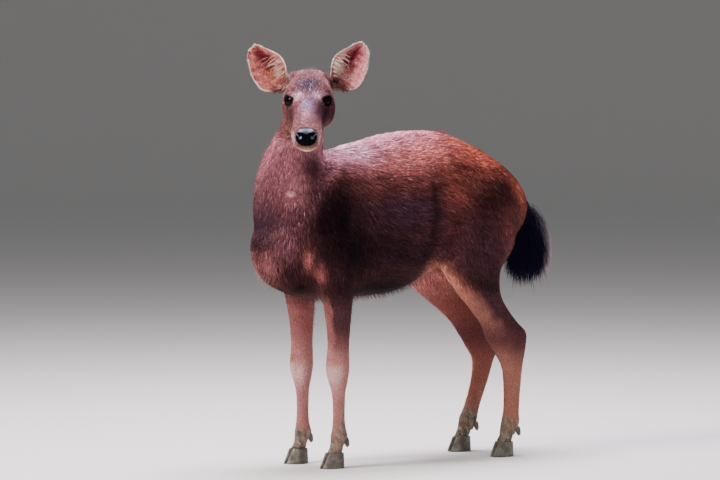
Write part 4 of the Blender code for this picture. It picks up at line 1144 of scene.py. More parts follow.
def eye_material():
    """A wet eye: near-black brown iris behind a clear cornea, so it holds sharp highlights."""
    material, tree, shader = new_material("wet_eye")
    tint = add_node(tree, "ShaderNodeAttribute", {"attribute_name": "eye_colour"}, {})
    # Fibres of the iris, about 0.4 mm apart
    fibres = ranged(tree, noise(tree, object_place(tree), 2500.0, 2.0), 0.0, 1.0, 0.7, 1.3)
    surface(tree, shader, mixed(tree, 1.0, tint.outputs["Color"], fibres, "MULTIPLY"),
            {"Roughness": 0.35, "Specular IOR Level": 0.0, "Coat Weight": 0.27, "Coat IOR": 1.34,
             "Coat Roughness": 0.03})
    return material


def horn_material():
    """Hoof horn: grey-brown keratin grown downwards in fine tubes, dull with dried mud."""
    material, tree, shader = new_material("hoof_horn")
    place = object_place(tree)
    # Growth rings lie about 3 mm apart and the tubes of the horn about 1 mm
    rings = noise(tree, stretched(tree, place, (40.0, 40.0, 330.0)), 1.0, 2.0)
    tubes = noise(tree, stretched(tree, place, (900.0, 900.0, 60.0)), 1.0, 2.0)
    dust = noise(tree, place, 55.0, 4.0)
    horn = mixed(tree, tubes, HORN_DARK, HORN_PALE)
    surface(tree, shader, mixed(tree, ranged(tree, dust, 0.42, 0.75, 0.10, 0.55), horn, MUD),
            {"Roughness": 0.55})
    height = add_node(tree, "ShaderNodeMath", {"operation": "ADD"}, {0: rings, 1: dust})
    bumped(tree, shader, height.outputs["Value"], 0.6, 0.0006)
    return material


def finish(made, material):
    """Shade a piece smoothly, give it its material, and tie it to the body."""
    made.data.materials.append(material)
    made.data.shade_smooth()
    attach(made, "root")


def shared(name, maker):
    """A material made once and then found by name."""
    return bpy.data.materials.get(name) or maker()


def store_colour(made, name, colours):
    """Keep a colour for each point in a named attribute of the mesh."""
    attribute = made.data.attributes.new(name, "FLOAT_COLOR", "POINT")
    values = np.concatenate([colours, np.ones((len(colours), 1))], axis=1)
    attribute.data.foreach_set("color", values.astype(np.float32).ravel())


def body_skin(sizes):
    """Trunk, neck and legs fused, smoothed above the legs, and sunk by the coat's depth."""
    parts = [tube(trunk_rings(90, 64)), tube(neck_rings(60, 56))]
    for which in STANCE:
        rings = leg_rings(which, 150, 40)
        parts.append(tube(rings[rings[:, 0, 2] > CORONET]))
    points, faces = remeshed(parts, sizes.skin_voxel)
    upper = step(0.41, 0.49, points[:, 2])
    # As smooth as ten rounds would make a mesh with 10 mm cells
    rounds = int(10 * (0.010 / sizes.skin_voxel) ** 2)
    points = smoothed(points, faces, 0.5 * upper, rounds)
    points = smoothed(points, faces, 0.4 * (1.0 - upper), 2)
    normals = normals_of(points, faces)
    depth = guide_values(points)[:, 5] * 0.001
    points = points - normals * depth[:, None]
    points[:, 2] = np.maximum(points[:, 2], CORONET + 0.0004)
    return points, faces


def head_form():
    """The head as one closed surface, without its ears."""
    points, faces = tube(head_rings(130, 112))
    return points, outward(points - HEAD_ORIGIN, faces)


def face_skin(sizes):
    """The head with lids raised over the eyes, fused finely, smoothed and sunk under its hair."""
    lids = [ball(eye_middle(side), eye_axes(side), (EYE_RADIUS + LID_THICKNESS,) * 3, 40)
            for side in (1.0, -1.0)]
    points, faces = remeshed([head_form()] + lids, sizes.face_voxel)
    points = smoothed(points, faces, 0.5, 6)
    normals = normals_of(points, faces)
    along, side, up = head_local(points).T
    near_eye = step(0.02, 0.012, np.abs(along - EYE_PLACE[0])) * step(0.03, 0.04, np.abs(side))
    near_eye = near_eye * step(0.03, 0.02, np.abs(up - EYE_PLACE[2]))
    depth = sizes.face_depth * (1.0 - 0.6 * near_eye)
    return points - normals * depth[:, None], faces


def make_skin(sizes):
    """The whole skin: head, ears and body joined, with openings for eyes, nose and mouth."""
    head = new_object("skin_head", *face_skin(sizes))
    tools = [new_object("groove", *mouth_groove())]
    axes = [HEAD_AXIS, HEAD_SIDE, HEAD_UP]
    tools.append(new_object("nose_room", *ball(head_world(NOSE_PLACE), axes, NOSE_SIZE, 64)))
    for side in (1.0, -1.0):
        eye = eye_axes(side)
        middle = eye_middle(side)
        tools.append(new_object("opening", *ball(middle + eye[0] * LID_OPENING_OUT, eye,
                                                 LID_OPENING, 48)))
        tools.append(new_object("socket", *ball(middle, eye, (EYE_RADIUS + 0.0001,) * 3, 64)))
    points, faces = combined(head, tools, "DIFFERENCE")
    head = new_object("skin_head", points, faces)
    body = new_object("skin_body", *body_skin(sizes))
    ears = [new_object("skin_ear", *ear_cup(side, 48, 33, sizes.ear_inset)) for side in (1.0, -1.0)]
    points, faces = combined(body, [head] + ears, "UNION")
    # The seam where the head meets the neck is smoothed
    joint = head_local(points)
    near = step(0.045, 0.015, np.abs(joint[:, 0] + 0.30 * joint[:, 2] + 0.012))
    near *= step(0.090, 0.075, np.abs(joint[:, 1])) * step(0.03, 0.0, joint[:, 2] - 0.045)
    near *= 1.0 - ear_share(points)[0]
    points = smoothed(points, faces, 0.5 * near, 12)
    return points, faces


def read_skin():
    """The finished skin read back in the design frame."""
    mesh = bpy.data.objects["skin"].data
    points = np.empty(len(mesh.vertices) * 3, np.float32)
    mesh.vertices.foreach_get("co", points)
    faces = np.empty(len(mesh.loops), np.int32)
    mesh.loops.foreach_get("vertex_index", faces)
    unwrap = np.empty(len(mesh.loops) * 2, np.float32)
    mesh.uv_layers[0].uv.foreach_get("vector", unwrap)
    points = points.reshape(-1, 3).astype(float) - SHIFT
    faces = faces.reshape(-1, 3)
    normals = normals_of(points, faces)
    return Skin(points, faces, normals, unwrap.reshape(-1, 3, 2), points[faces].mean(axis=1),
                unit(normals[faces].sum(axis=1)))


def region_of(points):
    """Number of the coat's region that each point lies in, in the order of REGIONS."""
    region = np.where(points[:, 1] < SHOULDERS_END, 3, np.where(points[:, 1] < BARREL_END, 4, 5))
    region = np.where(points[:, 2] < LEG_TOP, np.where(points[:, 1] < 0.0, 6, 7), region)
    neck = (points - NECK_BASE[0]) @ NECK_BASE[1] > 0.0
    region = np.where(neck, 2, region)
    region = np.where(head_share(points) > 0.5, 0, region)
    return np.where(ear_share(points)[0] > 0.5, 1, region)


def bare_share(points):
    """1 where no hair grows: in the eye openings and on the nose."""
    bare = np.zeros(len(points))
    for side in (1.0, -1.0):
        apart = np.linalg.norm(points - eye_middle(side), axis=1)
        bare = np.maximum(bare, step(EYE_RADIUS + 0.0026, EYE_RADIUS + 0.0012, apart))
    nose = np.linalg.norm((head_local(points) - NOSE_PLACE) / NOSE_SIZE, axis=1)
    return np.maximum(bare, (nose < 1.02).astype(float))


def sown(skin, count, weight, draws):
    """Roots spread over the surface: evenly stepped places in the running sum of area x weight."""
    corner = skin.points[skin.faces]
    area = np.linalg.norm(np.cross(corner[:, 1] - corner[:, 0], corner[:, 2] - corner[:, 0]), axis=1)
    running = np.cumsum(area * weight)
    at = (np.arange(count) + draws.uniform(size=count)) / count * running[-1]
    face = np.minimum(np.searchsorted(running, at), len(skin.faces) - 1)
    a, b = draws.uniform(size=(2, count))
    over = a + b > 1.0
    a, b = np.where(over, 1.0 - a, a), np.where(over, 1.0 - b, b)
    part = np.stack([1.0 - a - b, a, b], axis=1)
    root = np.einsum("nk,nkj->nj", part, corner[face])
    normal = unit(np.einsum("nk,nkj->nj", part, skin.normals[skin.faces[face]]))
    uv = np.einsum("nk,nkj->nj", part, skin.unwrap[face])
    return root, normal, uv


def tufts(root, normal, uv, lie, length, width, lift, colour):
    """Four-faced tufts: root, two shoulders at two fifths of the length, and the tip."""
    side = np.cross(normal, lie)
    length, width, lift = length[:, None], width[:, None], lift[:, None]
    shoulder = root + lie * (length * 0.40) + normal * (lift * 0.75)
    points = np.stack([root - normal * ROOT_DEPTH, shoulder + side * (width * 0.5),
                       shoulder - side * (width * 0.5), root + lie * length + normal * lift], axis=1)
    faces = np.array(((0, 2, 1), (1, 2, 3), (0, 1, 3), (0, 3, 2)))
    faces = (faces[None] + 4 * np.arange(len(root))[:, None, None]).reshape(-1, 3)
    tone = np.array((0.50, 0.92, 0.92, 1.25))
    colours = (colour[:, None, :] * tone[None, :, None]).reshape(-1, 3)
    patch = np.array(((0.0, -0.0015), (-0.0015, 0.0), (0.0015, 0.0), (0.0, 0.0015)))
    uvs = (uv[:, None, :] + patch[None]).reshape(-1, 2)
    return points.reshape(-1, 3), faces, np.clip(colours, 0.0, 1.0), uvs


def hair_piece(name, points, faces, colours, uvs, slot):
    """A coat piece with its colours and its bake map, tied to the animal."""
    made = new_object(name, points + SHIFT, faces)
    store_colour(made, "coat_colour", colours)
    layer = made.data.uv_layers.new(name="OFBake")
    layer.uv.foreach_set("vector", np.clip(uvs[faces.ravel()], 0.0, 1.0).astype(np.float32).ravel())
    finish(made, shared("deer_hair_keratin", hair_material))
    return made


class SambarSizes(bpy.types.PropertyGroup):
    """Sizes of the skin and coat that a user may change."""

    skin_voxel: FloatProperty(name="Body mesh size", description="Size of the body skin's mesh cells",
                              default=0.0061, unit="LENGTH")
    face_voxel: FloatProperty(name="Face mesh size", description="Size of the face skin's mesh cells",
                              default=0.0022, unit="LENGTH")
    face_depth: FloatProperty(name="Face hair depth", description="How deep the face lies under its hair",
                              default=0.0014, unit="LENGTH")
    ear_inset: FloatProperty(name="Ear hair depth", description="How deep the ear lies under its hair",
                             default=0.0008, unit="LENGTH")
    fullness: FloatProperty(name="Fullness", description="Share of the tufts that are laid",
                            default=1.0, min=0.1, max=1.2, subtype="FACTOR")
    seed: IntProperty(name="Seed", description="Number that the random draws start from", default=11)


class SambarStage(bpy.types.PropertyGroup):
    """Camera and floor."""

    azimuth: FloatProperty(name="Camera azimuth", description="Turn of the camera from the front",
                           default=math.radians(54.0), subtype="ANGLE")
    elevation: FloatProperty(name="Camera elevation", description="Height of the camera as an angle",
                             default=math.radians(3.0), subtype="ANGLE")
    distance: FloatProperty(name="Camera distance", description="Distance from the animal",
                            default=12.0, unit="LENGTH")
    lens: FloatProperty(name="Focal length", description="Focal length on a 36 mm wide sensor, in mm",
                        default=217.2)
    floor_colour: FloatVectorProperty(name="Floor", description="Colour of the floor", size=3,
                                      subtype="COLOR", default=tuple(linear("#d9d7d2")))


class SAMBAR_OT_skin(bpy.types.Operator):
    """Make the skin that takes the place of the flesh nodes."""

    bl_idname = "sambar.skin"
    bl_label = "Skin"

    def execute(self, context):
        points, faces = make_skin(context.scene.sambar_sizes)
        normals = normals_of(points, faces)
        made = new_object("skin", points + SHIFT, faces)
        # The hide is painted at four fifths of the coat's colour: painted shade under the coat
        store_colour(made, "coat_colour", colour_at(points, normals) * 0.8)
        context.view_layer.objects.active = made
        made.select_set(True)
        bpy.ops.object.mode_set(mode="EDIT")
        bpy.ops.mesh.select_all(action="SELECT")
        bpy.ops.uv.smart_project(angle_limit=math.radians(66), island_margin=0.001)
        bpy.ops.object.mode_set(mode="OBJECT")
        made.select_set(False)
        finish(made, shared("deer_hide_short_hair", hide_material))
        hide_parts("head", "neck", "forequarters", "barrel", "hindquarters", "ear_left",
                    "ear_right", *[part + side for side in ("left", "right")
                                   for part in ("forearm_", "fore_cannon_", "gaskin_", "hind_cannon_")])
        return {"FINISHED"}


class SAMBAR_OT_coat(bpy.types.Operator):
    """Lay tufts of hair over the skin, one piece for each region."""

    bl_idname = "sambar.coat"
    bl_label = "Coat"

    def execute(self, context):
        sizes = context.scene.sambar_sizes
        skin = read_skin()
        region = region_of(skin.middle)
        hairy = 1.0 - bare_share(skin.middle)
        _, length, width, _ = coat_at(skin.middle, skin.face_normal)
        for number, (name, hairs, slot) in enumerate(REGIONS):
            draws = np.random.default_rng(sizes.seed + number)
            weight = (region == number) * hairy / (length * width)
            root, normal, uv = sown(skin, int(hairs * sizes.fullness), weight, draws)
            self.lay(name, root, normal, uv, draws, slot)
        return {"FINISHED"}

    def lay(self, name, root, normal, uv, draws, slot):
        """Give each root its own length, width, lift, lie and tone, and make the piece."""
        lie, length, width, lift = coat_at(root, normal)
        count = len(root)
        sway = 0.16 * draws.normal(size=count) + 0.22 * noise_at(root, 90.0, 21)
        side = np.cross(normal, lie)
        lie = unit(lie + side * (sway * (1.0 + 0.8 * head_share(root)))[:, None])
        grade = draws.uniform(size=count)
        length = length * (0.65 + 0.60 * grade)
        lift = lift * (0.35 + 0.75 * grade)
        width = width * draws.uniform(0.75, 1.2, size=count)
        colour = self.toned(root, colour_at(root, normal), draws)
        hair_piece("coat_" + name, *tufts(root, normal, uv, lie, length, width, lift, colour), slot)

    def toned(self, root, colour, draws):
        """Streaks along the coat, a tone for each tuft, a few bright ones and a grizzled forehead."""
        count = len(root)
        head = head_share(root) * (1.0 - ear_share(root)[0])
        streak = noise_at(root * (1.0, 0.15, 1.0), 420.0, 23) * step(0.45, 0.55, root[:, 2]) * (1.0 - head)
        streak = streak + (1.7 * noise_at(root, 900.0, 24) + 0.5 * noise_at(root, 300.0, 25)) * head
        leg = step(0.50, 0.40, root[:, 2])
        tone = np.exp((0.32 + 0.02 * head - 0.20 * leg) * draws.normal(size=count)
                      + 0.06 * noise_at(root, 130.0, 22) + 0.26 * streak)
        tone = tone * (1.0 + 0.9 * (draws.uniform(size=count) < 0.07 * (1.0 - leg)))
        local = head_local(root)
        patch = np.exp(-((local[:, 0] - 0.114) / 0.032) ** 2 - (local[:, 1] / 0.038) ** 2)
        grizzled = (draws.uniform(size=count) < 0.14 * patch * head) * (local[:, 2] > 0.0)
        return toward(colour * tone[:, None], GRIZZLE, 0.80 * grizzled)


def strands(root, way, fall, length, width, sides_at, colour, tip_colour, uv):
    """Long hairs: a root that leaves along one way and bends to another, in four spans."""
    count, rings_count = len(root), len(STRAND_TAPER)
    share = np.linspace(0.0, 1.0, rings_count)[None, :, None]
    heading = unit(way[:, None, :] * (1.0 - share) + fall[:, None, :] * share)
    path = root[:, None, :] + np.cumsum(heading * (length[:, None, None] / (rings_count - 1.0)), axis=1)
    path[:, 0] = root
    side = unit(np.cross(heading, sides_at[:, None, :]))
    flat = np.cross(side, heading)
    taper = np.array(STRAND_TAPER)[None, :, None] * (width * 0.5)[:, None, None]
    rings = np.stack([path + side * taper, path - side * taper, path + flat * taper * 0.8], axis=2)
    last = 3 * rings_count
    strand = np.concatenate([grid_faces(rings_count, 3, True),
                             np.array(((0, 2, 1), (last - 3, last - 2, last - 1)))])
    faces = (strand[None] + last * np.arange(count)[:, None, None]).reshape(-1, 3)
    along = np.repeat(np.linspace(0.0, 1.0, rings_count) ** 1.5, 3)[None, :, None]
    colours = colour[:, None, :] * (1.0 - along) + tip_colour[:, None, :] * along
    patch = np.stack([np.tile((-0.0012, 0.0012, 0.0), rings_count),
                      np.repeat(np.linspace(-0.0015, 0.0015, rings_count), 3)], 1)
    uvs = (uv[:, None, :] + patch[None]).reshape(-1, 2)
    return rings.reshape(-1, 3), faces, np.clip(colours.reshape(-1, 3), 0.0, 1.0), uvs


def shaded(hex_colour, count, low, high, draws):
    """One colour for each of a number of hairs, each a little lighter or darker."""
    return np.tile(linear(hex_colour), (count, 1)) * draws.uniform(low, high, (count, 1))


class SAMBAR_OT_long_hair(bpy.types.Operator):
    """Grow the long hairs: in the ears, on the belly, lids and chin, and in small tufts."""

    bl_idname = "sambar.long_hair"
    bl_label = "Long hair"

    def execute(self, context):
        skin = read_skin()
        draws = np.random.default_rng(context.scene.sambar_sizes.seed + 70)
        parts = [self.ear_hairs(skin, draws), self.belly_fringe(skin, draws),
                 self.lashes(skin, draws), self.chin_hairs(skin, draws)]
        for row in SMALL_TUFTS:
            parts.append(self.small_tuft(row, skin, draws))
        points, faces = gathered([part[:2] for part in parts])
        hair_piece("long_hair", points, faces, np.concatenate([part[2] for part in parts]),
                   np.concatenate([part[3] for part in parts]), "coat_brown")
        return {"FINISHED"}

    def ear_hairs(self, skin, draws):
        """Whitish hairs rooted inside the upper edge of each ear, lying across its cup."""
        share, (along, inner, _), opening = ear_share(skin.middle)
        front = np.sum(skin.face_normal * opening, axis=1) > 0.1
        weight = front * share * bell(along, 0.38, 0.17) * step(-0.004, 0.016, inner)
        weight = weight * np.where(head_local(skin.middle)[:, 1] > 0, 1.0, 0.5)
        root, _, uv = sown(skin, EAR_HAIRS, weight, draws)
        count = len(root)
        axes = np.array([ear_frame(side) for side in (1.0, -1.0)])
        index = (head_local(root)[:, 1] < 0).astype(int)
        axis, opening, above = axes[index, 1], axes[index, 2], axes[index, 3]
        way = unit(opening * 0.75 - above * 0.5 + axis * draws.uniform(-0.1, 0.6, (count, 1)))
        fall = unit(-above * 1.0 + axis * draws.uniform(-0.5, 0.5, (count, 1)) - opening * 0.05)
        length = draws.uniform(0.012, 0.032, count)
        colour = shaded(EAR_HAIR, count, 0.6, 1.1, draws)
        return strands(root, way, fall, length, np.full(count, 0.0007), opening, colour, colour, uv)

    def belly_fringe(self, skin, draws):
        """Dark brown hairs that hang from the belly and between the forelegs."""
        middle = skin.middle
        under = step(-0.55, -0.95, skin.face_normal[:, 2]) * (middle[:, 2] > 0.43) * (middle[:, 2] < 0.56)
        weight = under * step(-0.40, -0.30, middle[:, 1]) * step(0.16, 0.05, middle[:, 1])
        weight = weight * step(0.13, 0.08, np.abs(middle[:, 0]))
        root, normal, uv = sown(skin, BELLY_HAIRS, weight, draws)
        count = len(root)
        way = np.tile((0.0, 0.75, -0.65), (count, 1)) + 0.15 * draws.normal(size=(count, 3))
        fall = np.tile((0.0, 0.45, -0.90), (count, 1)) + 0.12 * draws.normal(size=(count, 3))
        length = draws.uniform(0.014, 0.026, count)
        tip = shaded(FRINGE_TIP, count, 0.5, 1.2, draws)
        return strands(root, way, fall, length, np.full(count, 0.0012),
                       np.tile((0.0, 0.3, 1.0), (count, 1)), colour_at(root, normal), tip, uv)

    def small_tuft(self, row, skin, draws):
        """Hairs rooted in a bell about one place, denser where the skin faces the way they leave."""
        place, reach, count, length, tint = row[:3], row[3], row[4], row[11] * 0.001, row[12]
        way, fall = np.array(row[5:8]), np.array(row[8:11])
        weight = round_bell(skin.middle, place, reach) * np.maximum(skin.face_normal @ unit(way), 0.0)
        root, normal, uv = sown(skin, count, weight, draws)
        ways = way + 0.22 * draws.normal(size=(count, 3))
        falls = fall + 0.18 * draws.normal(size=(count, 3))
        length = length * draws.uniform(0.5, 1.1, count)
        tip = shaded(tint, count, 0.6, 1.15, draws)
        return strands(root, ways, falls, length, np.full(count, 0.0009), normal + 0.01, tip * 0.7, tip, uv)

    def lashes(self, skin, draws):
        """Dark lashes along the upper lids."""
        lid = np.zeros(len(skin.middle))
        for side in (1.0, -1.0):
            look, corner, above = eye_axes(side)
            apart = skin.middle - eye_middle(side)
            across = np.hypot(apart @ corner / 0.0200, apart @ above / 0.0140)
            lid = np.maximum(lid, bell(across, 1.05, 0.08) * (apart @ above > 0.003)
                             * (apart @ look > 0.005))
        root, _, uv = sown(skin, LASHES, lid, draws)
        count = len(root)
        left = head_local(root)[:, 1, None] > 0
        look = np.where(left, eye_axes(1.0)[0], eye_axes(-1.0)[0])
        dark = np.tile(linear(LASH), (count, 1))
        return strands(root, look, unit(look * 0.6 + UP * 0.5), draws.uniform(0.004, 0.007, count),
                       np.full(count, 0.0006), np.tile(UP, (count, 1)) + 0.01, dark, dark, uv)

    def chin_hairs(self, skin, draws):
        """A few stiff pale hairs on the chin and lips."""
        local = head_local(skin.middle)
        chin = step(0.225, 0.25, local[:, 0]) * step(-0.030, -0.045, local[:, 2])
        root, normal, uv = sown(skin, CHIN_HAIRS, chin, draws)
        count = len(root)
        pale = np.tile(linear(CHIN_HAIR), (count, 1))
        return strands(root, normal + HEAD_AXIS * 0.4, normal * 0.4 + HEAD_AXIS - UP * 0.5,
                       draws.uniform(0.008, 0.016, count), np.full(count, 0.0005),
                       np.tile(HEAD_SIDE, (count, 1)), pale, pale, uv)


class SAMBAR_OT_tail(bpy.types.Operator):
    """Make the bushy tail: hairs that leave a dark core all round."""

    bl_idname = "sambar.tail"
    bl_label = "Tail"

    def execute(self, context):
        draws = np.random.default_rng(context.scene.sambar_sizes.seed + 40)
        made = self.brush(draws)
        self.core()
        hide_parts("tail")
        return {"FINISHED"}

    def brush(self, draws):
        """Hairs that leave the dock all round and end on one rounded outline, with a pale haze."""
        count = TAIL_HAIRS
        rows = spread(TAIL, 60)
        at = draws.uniform(size=count) ** 0.85 * 0.93
        y, z, half_width, half_depth = (np.interp(at, np.linspace(0, 1, 60), rows[:, k]) for k in range(4))
        turn = draws.uniform(0.0, 2.0 * math.pi, size=count)
        out = np.stack([np.cos(turn), np.sin(turn), np.zeros(count)], axis=1)
        depth = draws.uniform(0.25, 0.70, size=(count, 1))
        root = np.stack([np.zeros(count), y, z], axis=1) + out * depth * np.stack(
            [half_width, half_depth, half_width], axis=1)
        top = step(0.28, 0.0, at)
        length = (0.074 - 0.034 * top) * draws.uniform(0.55, 1.12, size=count)
        spreading = draws.uniform(0.25, 1.75, size=count) * (1.0 - 0.90 * step(0.60, 0.0, at))
        spreading *= np.where(out[:, 1] < 0, 0.65, 1.0)
        jitter = draws.normal(scale=0.10, size=(count, 3))
        way = unit(out * spreading[:, None] + np.array((0.0, 0.05, -0.35)) + jitter)
        fall = unit(out * (0.12 * spreading)[:, None] + np.array((0.0, 0.05, -1.0)) + jitter)
        # How far each hair may go before it meets the outline: a ray out of an ellipsoid
        below = np.where(root[:, 2] < TAIL_BRUSH_MIDDLE[2], 1.0, 0.62)
        start = (root - TAIL_BRUSH_MIDDLE) / TAIL_BRUSH_RADII
        start[:, 2] *= below
        ahead = unit(way + fall) / TAIL_BRUSH_RADII
        ahead[:, 2] *= below
        along_both, size = np.sum(start * ahead, axis=1), np.sum(ahead ** 2, axis=1)
        edge = draws.uniform(0.80, 1.06, size=count) ** 2
        room = np.sqrt(np.maximum(along_both ** 2 + size * (edge - np.sum(start ** 2, axis=1)), 1e-6))
        length = np.clip(np.minimum(length * 1.35, (room - along_both) / size), 0.014, 0.110)
        halo = step(0.86, 1.00, np.sqrt(edge)) * step(0.15, 0.70, out[:, 1])
        halo = halo * (0.3 + 0.7 * step(0.1, 0.4, at))
        base = linear(TAIL_BLACK)[None, :] * draws.uniform(0.7, 1.5, size=(count, 1))
        tip = toward(toward(base, TAIL_HALO, 0.90 * halo), TAIL_TOP, 0.80 * top)
        base = toward(base, TAIL_TOP, 0.85 * top)
        unwrap = np.stack([0.1 + 0.8 * turn / (2.0 * math.pi), 0.1 + 0.8 * at], axis=1)
        width = TAIL_HAIR_WIDTH * draws.uniform(0.5, 1.2, size=count)
        hairs = strands(root, way, fall, length, width, out + 0.01, base, tip, unwrap)
        return hair_piece("tail_hair", *hairs, "coat_dark")

    def core(self):
        """The dark dock inside the brush, so that no light shows between the hairs."""
        y, z, half_width, half_depth = (spread(TAIL, 40)[:, k, None] for k in range(4))
        across, depth = round_angles(32)
        line = unit(np.gradient(np.concatenate([y, z], axis=1), axis=0))
        half_width, half_depth = half_width * TAIL_CORE, half_depth * TAIL_CORE
        ring = np.stack([half_width * across, y - line[:, 1, None] * half_depth * depth,
                         z + line[:, 0, None] * half_depth * depth], axis=2)
        points, faces = tube(ring)
        made = new_object("tail_core", points + SHIFT, outward(points - points.mean(0), faces))
        store_colour(made, "coat_colour", np.tile(linear(TAIL_BLACK), (len(points), 1)))
        finish(made, shared("deer_hide_short_hair", hide_material))


class SAMBAR_OT_eyes(bpy.types.Operator):
    """Make the two eyes with iris, pupil and cornea."""

    bl_idname = "sambar.eyes"
    bl_label = "Eyes"

    def execute(self, context):
        for name, side in (("left", 1.0), ("right", -1.0)):
            axes = eye_axes(side)
            middle = eye_middle(side)
            points, faces = ball(middle, axes, (EYE_RADIUS - EYE_GAP,) * 3, 96)
            local = (points - middle) @ np.array(axes).T
            radius = np.hypot(local[:, 1], local[:, 2])
            front = local[:, 0] > 0
            points = points + axes[0] * (CORNEA_RISE * bell(radius, 0.0, CORNEA_REACH) * front)[:, None]
            iris = step(IRIS_RADIUS + 0.0007, IRIS_RADIUS - 0.0007, radius) * front
            pupil = np.hypot(local[:, 1] / PUPIL_SIZE[0], local[:, 2] / PUPIL_SIZE[1])
            colour = toward(np.tile(linear(EYEBALL), (len(points), 1)), IRIS, iris)
            colour = toward(colour, PUPIL, step(1.15, 0.95, pupil) * front)
            made = new_object("eyeball_" + name, points + SHIFT, faces)
            store_colour(made, "eye_colour", colour)
            finish(made, shared("wet_eye", eye_material))
            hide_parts("eye_" + name)
        return {"FINISHED"}


class SAMBAR_OT_nose(bpy.types.Operator):
    """Make the wet nose pad with its nostrils."""

    bl_idname = "sambar.nose"
    bl_label = "Nose"

    def swelling(self, points):
        """The wings over the nostrils and the groove between them, as bells of the place."""
        along, side, up = head_local(points).T
        front = step(0.268, 0.278, along)
        wings = np.exp(-((np.abs(side) - 0.0135) / 0.0075) ** 2 - ((up - 0.0075) / 0.0060) ** 2)
        groove = np.exp(-(side / 0.0022) ** 2) * step(0.004, -0.010, up)
        return (0.0028 * wings - 0.0012 * groove) * front

    def execute(self, context):
        axes = [HEAD_AXIS, HEAD_SIDE, HEAD_UP]
        pad = new_object("pad", *head_form())
        room = new_object("nose_tool", *ball(head_world(NOSE_PLACE), axes, NOSE_SIZE, 64))
        pad = new_object("pad", *combined(pad, [room], "INTERSECT"))
        nostrils = []
        for side in (1.0, -1.0):
            local = np.array(NOSTRIL_PLACE) * (1.0, side, 1.0)
            place = head_world(local)
            nostrils.append(new_object("nostril", *ball(place, axes, NOSTRIL_SIZE, 32)))
            slit = head_world(local + (-0.001, side * 0.006, 0.003))
            turned = [HEAD_AXIS, unit(HEAD_SIDE * side + HEAD_UP * 0.7),
                      unit(HEAD_UP - HEAD_SIDE * side * 0.7)]
            nostrils.append(new_object("slit", *ball(slit, turned, NOSTRIL_SLIT_SIZE, 24)))
        points, faces = combined(pad, nostrils, "DIFFERENCE")
        points, faces = remeshed([(points, faces)], NOSE_CELL)
        points = smoothed(points, faces, 0.5, 3)
        points = points + normals_of(points, faces) * self.swelling(points)[:, None]
        made = new_object("nose_skin", points + SHIFT, faces)
        # Wetness and painted reflection, strongest where the pad faces up
        wet = 0.95 * step(0.0, 0.50, normals_of(points, faces)[:, 2])
        store_colour(made, "wetness_and_reflection", np.repeat(wet[:, None], 3, axis=1))
        finish(made, nose_material())
        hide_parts("nose_pad")
        return {"FINISHED"}


def foot_place(which):
    """Centre of a leg at the coronet, in x and y."""
    x, y = leg_rows(which)[-1][:2]
    return leg_side(which) * x, y + stance_shift(which, CORONET)


def toe(x, y, side):
    """One half of a cloven hoof: D-shaped outlines that widen to the sole, with growth rings."""
    angle = np.linspace(0.0, 2.0 * math.pi, 48, endpoint=False)
    share = np.concatenate([(0.0, 0.03), np.linspace(0.06, 1.0, 26)])[:, None]
    ridge = 0.00025 * np.sin(share * 75.0) * (share > 0.08)
    length = HOOF_SOLE_LENGTH + (HOOF_TOP_LENGTH - HOOF_SOLE_LENGTH) * share + ridge * 2
    width = HOOF_SOLE_WIDTH + (HOOF_TOP_WIDTH - HOOF_SOLE_WIDTH) * share + ridge
    round_edge = step(0.06, 0.0, share)
    length = length - 0.003 * round_edge
    width = width - 0.002 * round_edge
    across = 0.5 + 0.5 * np.cos(angle)
    forward = np.sin(angle)
    taper = 1.0 - 0.45 * np.clip(-forward, 0.0, 1.0) ** 2 * (1.0 - 0.5 * share)
    rings = np.stack([x + side * (HOOF_CLEFT / 2 + width * across * taper),
                      y - HOOF_TOE_OUT * (1.0 - share) + length / 2 * forward,
                      np.broadcast_to(share * (CORONET - 0.0002), taper.shape)], axis=2)
    points, faces = tube(rings)
    return points, outward(points - points.mean(0), faces)


def dewclaw(x, y, z, side):
    """A small horn cone behind the fetlock, pointing down: rings that narrow to its end."""
    along = unit(np.array((side * 0.20, 0.14, -0.95)))
    across = unit(np.cross(along, (1.0, 0.0, 0.0)))
    other = np.cross(along, across)
    cosine, sine = round_angles(24)
    share = np.array((-0.45, 0.0, 0.2, 0.4, 0.6, 0.8, 0.92, 1.0))[:, None]
    width = np.interp(share, (-0.45, 0.0, 0.6, 0.8, 0.92, 1.0), (0.80, 1.0, 0.80, 0.62, 0.45, 0.2))
    width = width * DEWCLAW_RADIUS
    rings = (np.array((x, y, z)) + along * (DEWCLAW_LENGTH * share)[..., None]
             + across * (width * cosine)[..., None] + other * (0.75 * width * sine)[..., None])
    points, faces = tube(rings)
    return points, outward(points - points.mean(0), faces)


class SAMBAR_OT_hooves(bpy.types.Operator):
    """Make the eight toes and the eight dewclaws."""

    bl_idname = "sambar.hooves"
    bl_label = "Hooves and dewclaws"

    def execute(self, context):
        toes, claws, toe_nodes, claw_nodes = [], [], [], []
        for which in STANCE:
            x, y = foot_place(which)
            _, fetlock_y, fetlock_z, half_width, half_depth = leg_rows(which)[-3]
            back = fetlock_y + stance_shift(which, fetlock_z) + half_depth * 0.70
            for label, side in (("left", 1.0), ("right", -1.0)):
                toes.append(toe(x, y, side))
                claws.append(dewclaw(x + side * half_width * 0.48, back, DEWCLAW_HEIGHT, side))
                toe_nodes.append("hoof_%s_%s" % (which, label))
                claw_nodes.append("dewclaw_%s_%s" % (which, label))
        for name, parts, nodes in (("hooves", toes, toe_nodes), ("dewclaws", claws, claw_nodes)):
            points, faces = gathered(parts)
            made = new_object(name, points + SHIFT, faces)
            finish(made, shared("hoof_horn", horn_material))
            made.data.set_sharp_from_angle(angle=math.radians(50))
            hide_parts(*nodes)
        return {"FINISHED"}


